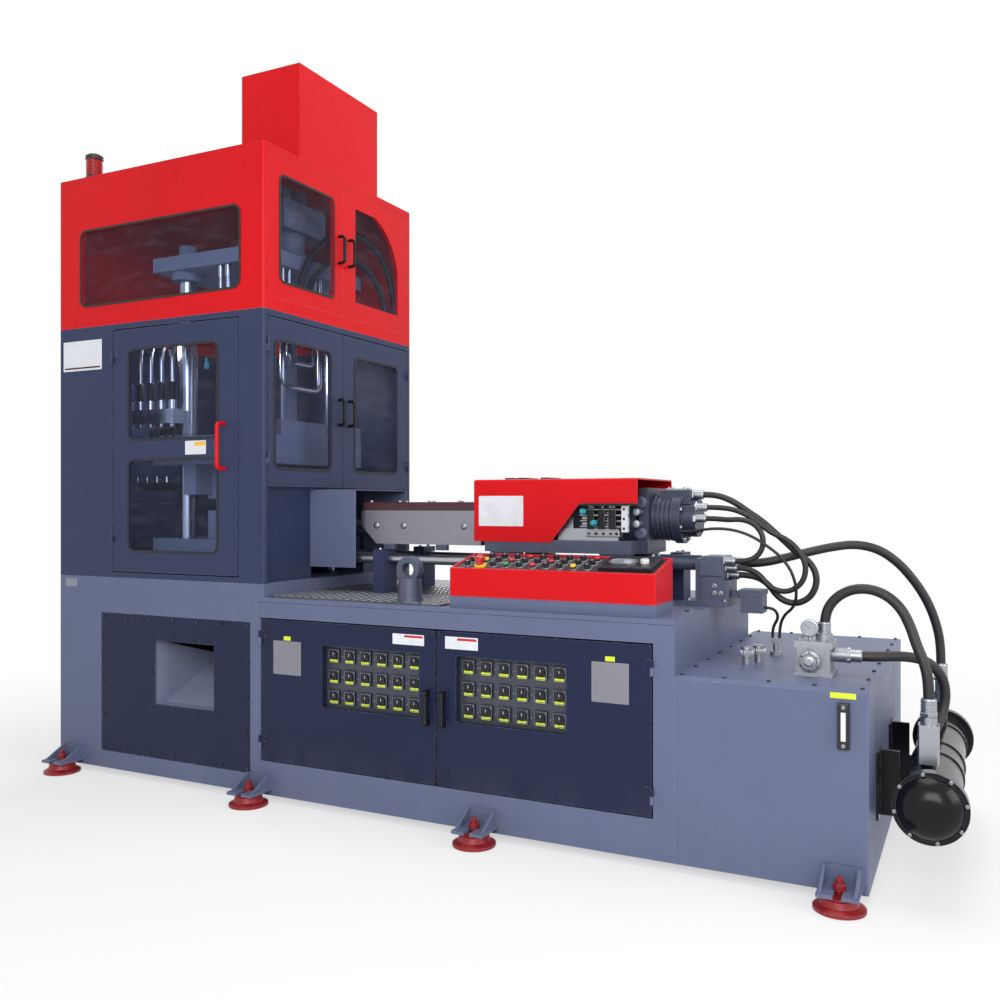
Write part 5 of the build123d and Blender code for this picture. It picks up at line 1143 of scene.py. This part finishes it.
# %% Hood and cut-away
for index, x in enumerate((2300, 2360, 2470)):
    add_block(f"hood_vent_{index}", (x, 430, 1428), (x + 46, 560, 1438), 3, oxide)
add_block("hood_lip", (2682, 356, 1316), (2926, 371, 1326), 1.5, oxide)
add_block("hood_edge", (2918, 366, 1330), (2930, 372, 1418), 1.5, enamel)
add_block("hood_inner_rail", (2700, 372, 1404), (2929, 378, 1422), 1.5, enamel)
for index, (z, y) in enumerate(((1300, 396), (1276, 392), (1252, 400), (1228, 396))):
    pipe = turned([(7, 0), (7, 200), (9, 201), (9, 214), (6, 216)], (2672, y, z), RIGHTWARD, 16)
    add(pipe, f"hood_pipe_{index}", zinc)
for index, (x, z) in enumerate(((2694, 1292), (2742, 1244))):
    elbow = turned([(11, 0), (13, 4), (13, 22), (9, 26), (9, 34), (5, 35)], (x, 384, z), FRONTWARD, 20)
    add(elbow, f"hood_elbow_{index}", teal)
add_block("hood_white_block", (2860, 372, 1206), (2886, 402, 1318), 3, enamel)
block_places = [(2873, 372, z) for z in (1222, 1262, 1302)]
bolt_row("hood_block_screws", socket_screw, block_places, FRONTWARD, 5, oxide)
add_block("hood_valve_body", (2700, 380, 1186), (2850, 420, 1214), 3, cast_silver)
valve_places = [(x, 380, 1200) for x in (2716, 2748, 2780, 2812, 2838)]
bolt_row("valve_screws", socket_screw, valve_places, FRONTWARD, 6, oxide)
for index, x in enumerate((2720, 2768, 2816)):
    coil_low, coil_high = (x - 17, 384, 1218), (x + 17, 424, 1300)
    add_block(f"valve_coil_{index}", coil_low, coil_high, 4, oxide)
    stem = turned([(8, 0), (8, 10), (6, 12), (6, 18), (3, 19)], (x, 404, 1300), UPWARD, 18)
    add(stem, f"valve_stem_{index}", zinc)
print("hood and cut-away")

# %% [markdown]
# ## Injection end
# The cylinder and motor are castings with ribs and ported blocks. Ribs are thin rings round the
# motor, and the ports get hexagon nuts where the hoses screw in.

# %% Motor, ribs and ports
for index, x in enumerate((2948, 2968, 2988, 3008)):
    rib = turned([(92.5, 0), (99, 1), (99, 7), (92.5, 8)], (x, 608.5, 1265), RIGHTWARD, 40)
    add(rib, f"motor_rib_{index}", dark_iron)
add_block("motor_port_cap", (2990, 560, 1380), (3080, 650, 1388), 2, cast_silver)
cap_places = [(x, y, 1388) for x in (3002, 3068) for y in (572, 638)]
bolt_row("port_cap_screws", socket_screw, cap_places, UPWARD, 6)
for index, (x, z) in enumerate(((2910, 1330), (2910, 1200))):
    boss = turned([(26, 0), (26, 14), (20, 18), (12, 18), (11, 12)], (x, 483.5, z), FRONTWARD, 24)
    add(boss, f"motor_boss_{index}", iron)
for index, z in enumerate((1240, 1290)):
    arm = turned([(12, 0), (12, 40), (15, 41), (15, 56), (8, 58)], (2905, 484, z), FRONTWARD, 20)
    add(arm, f"motor_arm_{index}", cast_silver)
plug_places = [(3210, 508.5, z) for z in (960, 990)] + [(3235, 508.5, 960)]
bolt_row("bracket_plugs", hexagon_bolt, plug_places, FRONTWARD, 9)
add_block("bracket_rib", (3150, 498, 1030), (3240, 508, 1090), 3, iron)
print("motor and bracket")

# %% [markdown]
# ## Hose ends
# A crimped sleeve holds each hose, with a hexagon nut at the port. The sleeve is one turned
# piece with grooves, so its rings catch the light as crimps do.

# %% Crimped sleeves
CRIMPS = 4


def sleeve(name, place, axis, bore, length, nut=True):
    """A crimped sleeve round a hose, with a hexagon nut at its foot."""
    outer = bore / 2 + 4.2
    groove = bore / 2 + 2.6
    profile = [(outer - 1.6, 0), (outer, 1.2)]
    step = (length - 6) / CRIMPS
    for index in range(CRIMPS):
        start = 3 + step * index
        profile += [(outer, start + step * 0.55), (groove, start + step * 0.65)]
        profile += [(groove, start + step * 0.9), (outer, start + step)]
    profile += [(outer - 1.2, length)]
    pieces = [turned(profile, place, axis, 28)]
    if nut:
        wide = bore / 2 + 9
        foot = Vector(place) - Vector(axis)
        flats = [(wide * 0.93, -12), (wide, -10), (wide, 0), (wide * 0.93, 2)]
        pieces.append(turned(flats, foot, axis, 6))
    return add(join(pieces), name, machined)


sleeve("sleeve_loop_a", (3102, 600.5, 1362), RIGHTWARD, 32, 40)
sleeve("sleeve_loop_b", (3126, 564.5, 1309), RIGHTWARD, 28, 40)
sleeve("sleeve_loop_c", (3126, 546.5, 1263), RIGHTWARD, 28, 40)
sleeve("sleeve_return", (3250, 632.5, 1078), RIGHTWARD, 42, 42)
sleeve("sleeve_loop_a_end", (3250, 600.5, 1032), RIGHTWARD, 32, 40)
sleeve("sleeve_loop_b_end", (3250, 562.5, 1062), RIGHTWARD, 28, 40)
sleeve("sleeve_loop_c_end", (3250, 530.5, 1092), RIGHTWARD, 28, 40)
sleeve("sleeve_filter_top", (3673, 278, 854), UPWARD, 38, 40)
sleeve("sleeve_filter_side", (3764, 278, 778), RIGHTWARD, 38, 40)
sleeve("sleeve_cooler_near", (4024, 210, 612), UPWARD, 44, 46)
sleeve("sleeve_cooler_far", (4036, 924, 620), UPWARD, 44, 52)
sleeve("sleeve_cooler_side", (4024, 245, 500), BACKWARD, 48, 22, False)
sleeve("sleeve_clamp_a", (1160, 440, 2256), UPWARD, 34, 52)
sleeve("sleeve_clamp_b", (1160, 496, 2256), UPWARD, 34, 46)
sleeve("sleeve_clamp_a_end", (1255, 1140, 2256), UPWARD, 34, 60)
sleeve("sleeve_clamp_b_end", (1255, 1068, 2256), UPWARD, 34, 50)
print("sleeves")

# %% [markdown]
# ## Filter, gauge and tank
# The filter's head has a round sight port held by a ring, and a small dial with ticks and a
# needle. Breather caps are ribbed round their edge.

# %% Filter and dial
ring = turned([(38, 0), (38, 3), (34, 6), (27, 6), (25, 3)], (3635, 182, 762), FRONTWARD, 40)
add(ring, "sight_ring", cast_silver)
hub = turned([(19, 0), (19, 3), (16, 5), (10, 5)], (3635, 170, 762), FRONTWARD, 32)
add(hub, "sight_hub", machined)
ring_places = circle_places((3635, 176, 762), "y", 32, 6, 0.5)
bolt_row("sight_screws", socket_screw, ring_places, FRONTWARD, 3.2, oxide)
rim = turned([(28.5, 0), (31, 1), (31, 7), (28.5, 9), (26, 9), (26, 6)], (3631, 214, 878), FRONTWARD, 40)
add(rim, "dial_rim", machined)
face = turned([(26.2, 0), (26.2, 1)], (3631, 209.6, 878), FRONTWARD, 40)
add(face, "dial_face", enamel)
ticks = []
for index in range(11):
    angle = math.radians(225 - 27 * index)
    tick = moved(block((-0.7, -0.5, 18), (0.7, 0.5, 24), 0.1, 1), BACK_TO_ORIGIN)
    turn = Matrix.Rotation(angle - math.pi / 2, 4, "Y").inverted()
    ticks.append(moved(tick, spot(3631, 208.2, 878), turn))
needle = moved(block((-0.8, -0.5, -5), (0.8, 0.5, 19), 0.2, 1), BACK_TO_ORIGIN)
moved(needle, spot(3631, 207.4, 878), Matrix.Rotation(math.radians(-50), 4, "Y"))
add(join(ticks + [needle]), "dial_marks", oxide)
for index, (x, y) in enumerate(((3374, 365), (3406, 432))):
    ribs = []
    for step in range(18):
        angle = math.tau * step / 18
        ribs.append((x + 24 * math.cos(angle), y + 24 * math.sin(angle), 740))
    grip = turned([(2.2, 0), (2.2, 20), (1.4, 21)], ribs[0], UPWARD, 8)
    grips = repeat(grip, from_first(ribs))
    cap = turned([(24.5, 0), (24.5, 2), (20, 5), (8, 6)], (x, y, 768), UPWARD, 28)
    add(join([cap, grips]), f"breather_cap_{index}", machined)
print("filter, dial and breathers")

# %% [markdown]
# ## Inside the tower
# Behind the front window hang the stretch rods with their valves and quick fittings. They are
# small turned pieces in steel, black and teal, placed where the window shows them.

# %% Inside the tower
for index in range(5):
    x = 322 + 72 * index
    tip = turned([(13, 0), (15, 3), (15, 26), (9, 34), (9, 70), (6, 74)], (x, 150, 1700), UPWARD, 20)
    add(tip, f"rod_tip_{index}", chrome)
    sheath = turned([(17, 0), (18.5, 3), (18.5, 120), (14, 126)], (x, 150, 1800), UPWARD, 20)
    add(sheath, f"rod_sheath_{index}", oxide)
lean = (0.35, -0.2, 0.9)
for index, x in enumerate((500, 552, 604)):
    body = turned([(15, 0), (17, 3), (17, 70), (12, 76), (12, 96), (7, 98)], (x, 196, 1662), lean, 20)
    add(body, f"gripper_{index}", oxide)
    end = turned([(17.6, 0), (19, 1), (19, 9), (17.6, 10)], (x, 196, 1662), lean, 20)
    add(end, f"gripper_ring_{index}", cast_silver)
quick = turned([(9, 0), (12, 2), (12, 30), (8, 34), (8, 52), (5, 54)], (834, 150, 1974), UPWARD, 20)
add(quick, "quick_fitting", teal)
print("inside the tower")

# %% [markdown]
# ## Beacon
# The red lens is ribbed like a screw cap. Thin rings round it give the ribs.

# %% Beacon ribs
beacon_ring = turned([(40, 0), (41.6, 1.5), (41.6, 4), (40, 5.5)], (115, 110, 3000), UPWARD, 40)
ring_steps = [(0, 0, 12 * step) for step in range(6)]
add(repeat(beacon_ring, ring_steps), "beacon_ribs", beacon_finish)
print("beacon")

# %% [markdown]
# ## Floor and light
# The floor is a wide disc that keeps the machine's shadow close by and turns plain white
# further out. Soft boxes above and at the sides light the machine, a small lamp hangs inside the
# tower so that the press can be made out, and the world fills in.

# %% Studio
deselect()
bpy.ops.mesh.primitive_circle_add(vertices=96, radius=40, fill_type="NGON", location=(0, 0, -0.002))
floor = bpy.context.object
floor.name = "studio_floor"


def seen_rays(tree):
    """1 for rays that show a surface: straight from the camera, by a mirror or through a pane."""
    paths = tree.nodes.new("ShaderNodeLightPath")
    kinds = ("Is Camera Ray", "Is Glossy Ray", "Is Transmission Ray")
    seen, mirrored, through = (Wire(tree, paths.outputs[kind]) for kind in kinds)
    return (seen + mirrored + through).limited()


SHADOW_REACH, FADE = 2.2, 2.6
PURE_WHITE = (1.0, 1.0, 1.0, 1.0)
white = Finish("studio_white", base_color=(0.9, 0.9, 0.91, 1.0), roughness=0.9)
distance = white.node("ShaderNodeVectorMath", {"operation": "LENGTH"}, {0: white.place}, 1)
far = ((distance - SHADOW_REACH) / FADE).limited()
glow = white.node("ShaderNodeEmission", {}, {"Color": PURE_WHITE, "Strength": 1.0}, None)
whiter = seen_rays(white.tree) * (far * 0.45 + 0.55)
mix = white.node("ShaderNodeMixShader", {}, {0: whiter}, None)
white.tree.links.new(white.shader.outputs[0], mix.inputs[1])
white.tree.links.new(glow.outputs[0], mix.inputs[2])
white.tree.links.new(mix.outputs[0], white.output.inputs[0])
floor.data.materials.append(white.material)


def soft_box(name, place, aim, size, power):
    """A large area lamp that points at a spot."""
    lamp = bpy.data.lights.new(name, "AREA")
    lamp.shape = "RECTANGLE"
    lamp.size, lamp.size_y = size
    lamp.energy = power
    box = bpy.data.objects.new(name, lamp)
    box.location = place
    box.rotation_euler = (Vector(aim) - Vector(place)).to_track_quat("-Z", "Y").to_euler()
    bpy.context.scene.collection.objects.link(box)


soft_box("key_box", (2.4, -6.8, 3.4), (0.4, 0, 1.1), (4.5, 3.5), 300)
soft_box("side_box", (6.5, -1.0, 3.0), (0.3, 0, 1.2), (3.5, 3.0), 120)
soft_box("top_box_light", (0.8, 0.5, 7.0), (0, 0, 1.0), (5.0, 4.0), 175)
soft_box("rear_box", (-3.0, 6.0, 4.0), (0, 0, 1.5), (4.0, 3.0), 110)
soft_box("work_light", spot(420, 330, 2120), spot(700, 620, 1500), (0.3, 0.12), 7)
FILL = 0.42
world = bpy.data.worlds.new("studio_world")
bpy.context.scene.world = world
world.use_nodes = True
world_tree = world.node_tree
world_tree.nodes.clear()
world_output = world_tree.nodes.new("ShaderNodeOutputWorld")
background = world_tree.nodes.new("ShaderNodeBackground")
strength = seen_rays(world_tree) * (1.0 - FILL) + FILL
feed(world_tree, background.inputs["Strength"], strength)
background.inputs["Color"].default_value = PURE_WHITE
world_tree.links.new(background.outputs[0], world_output.inputs[0])
bpy.context.scene.view_settings.view_transform = "Standard"
print("studio ready")

# %% [markdown]
# ## Last step
# The view layer is brought up to date.

# %% Update
bpy.context.view_layer.update()
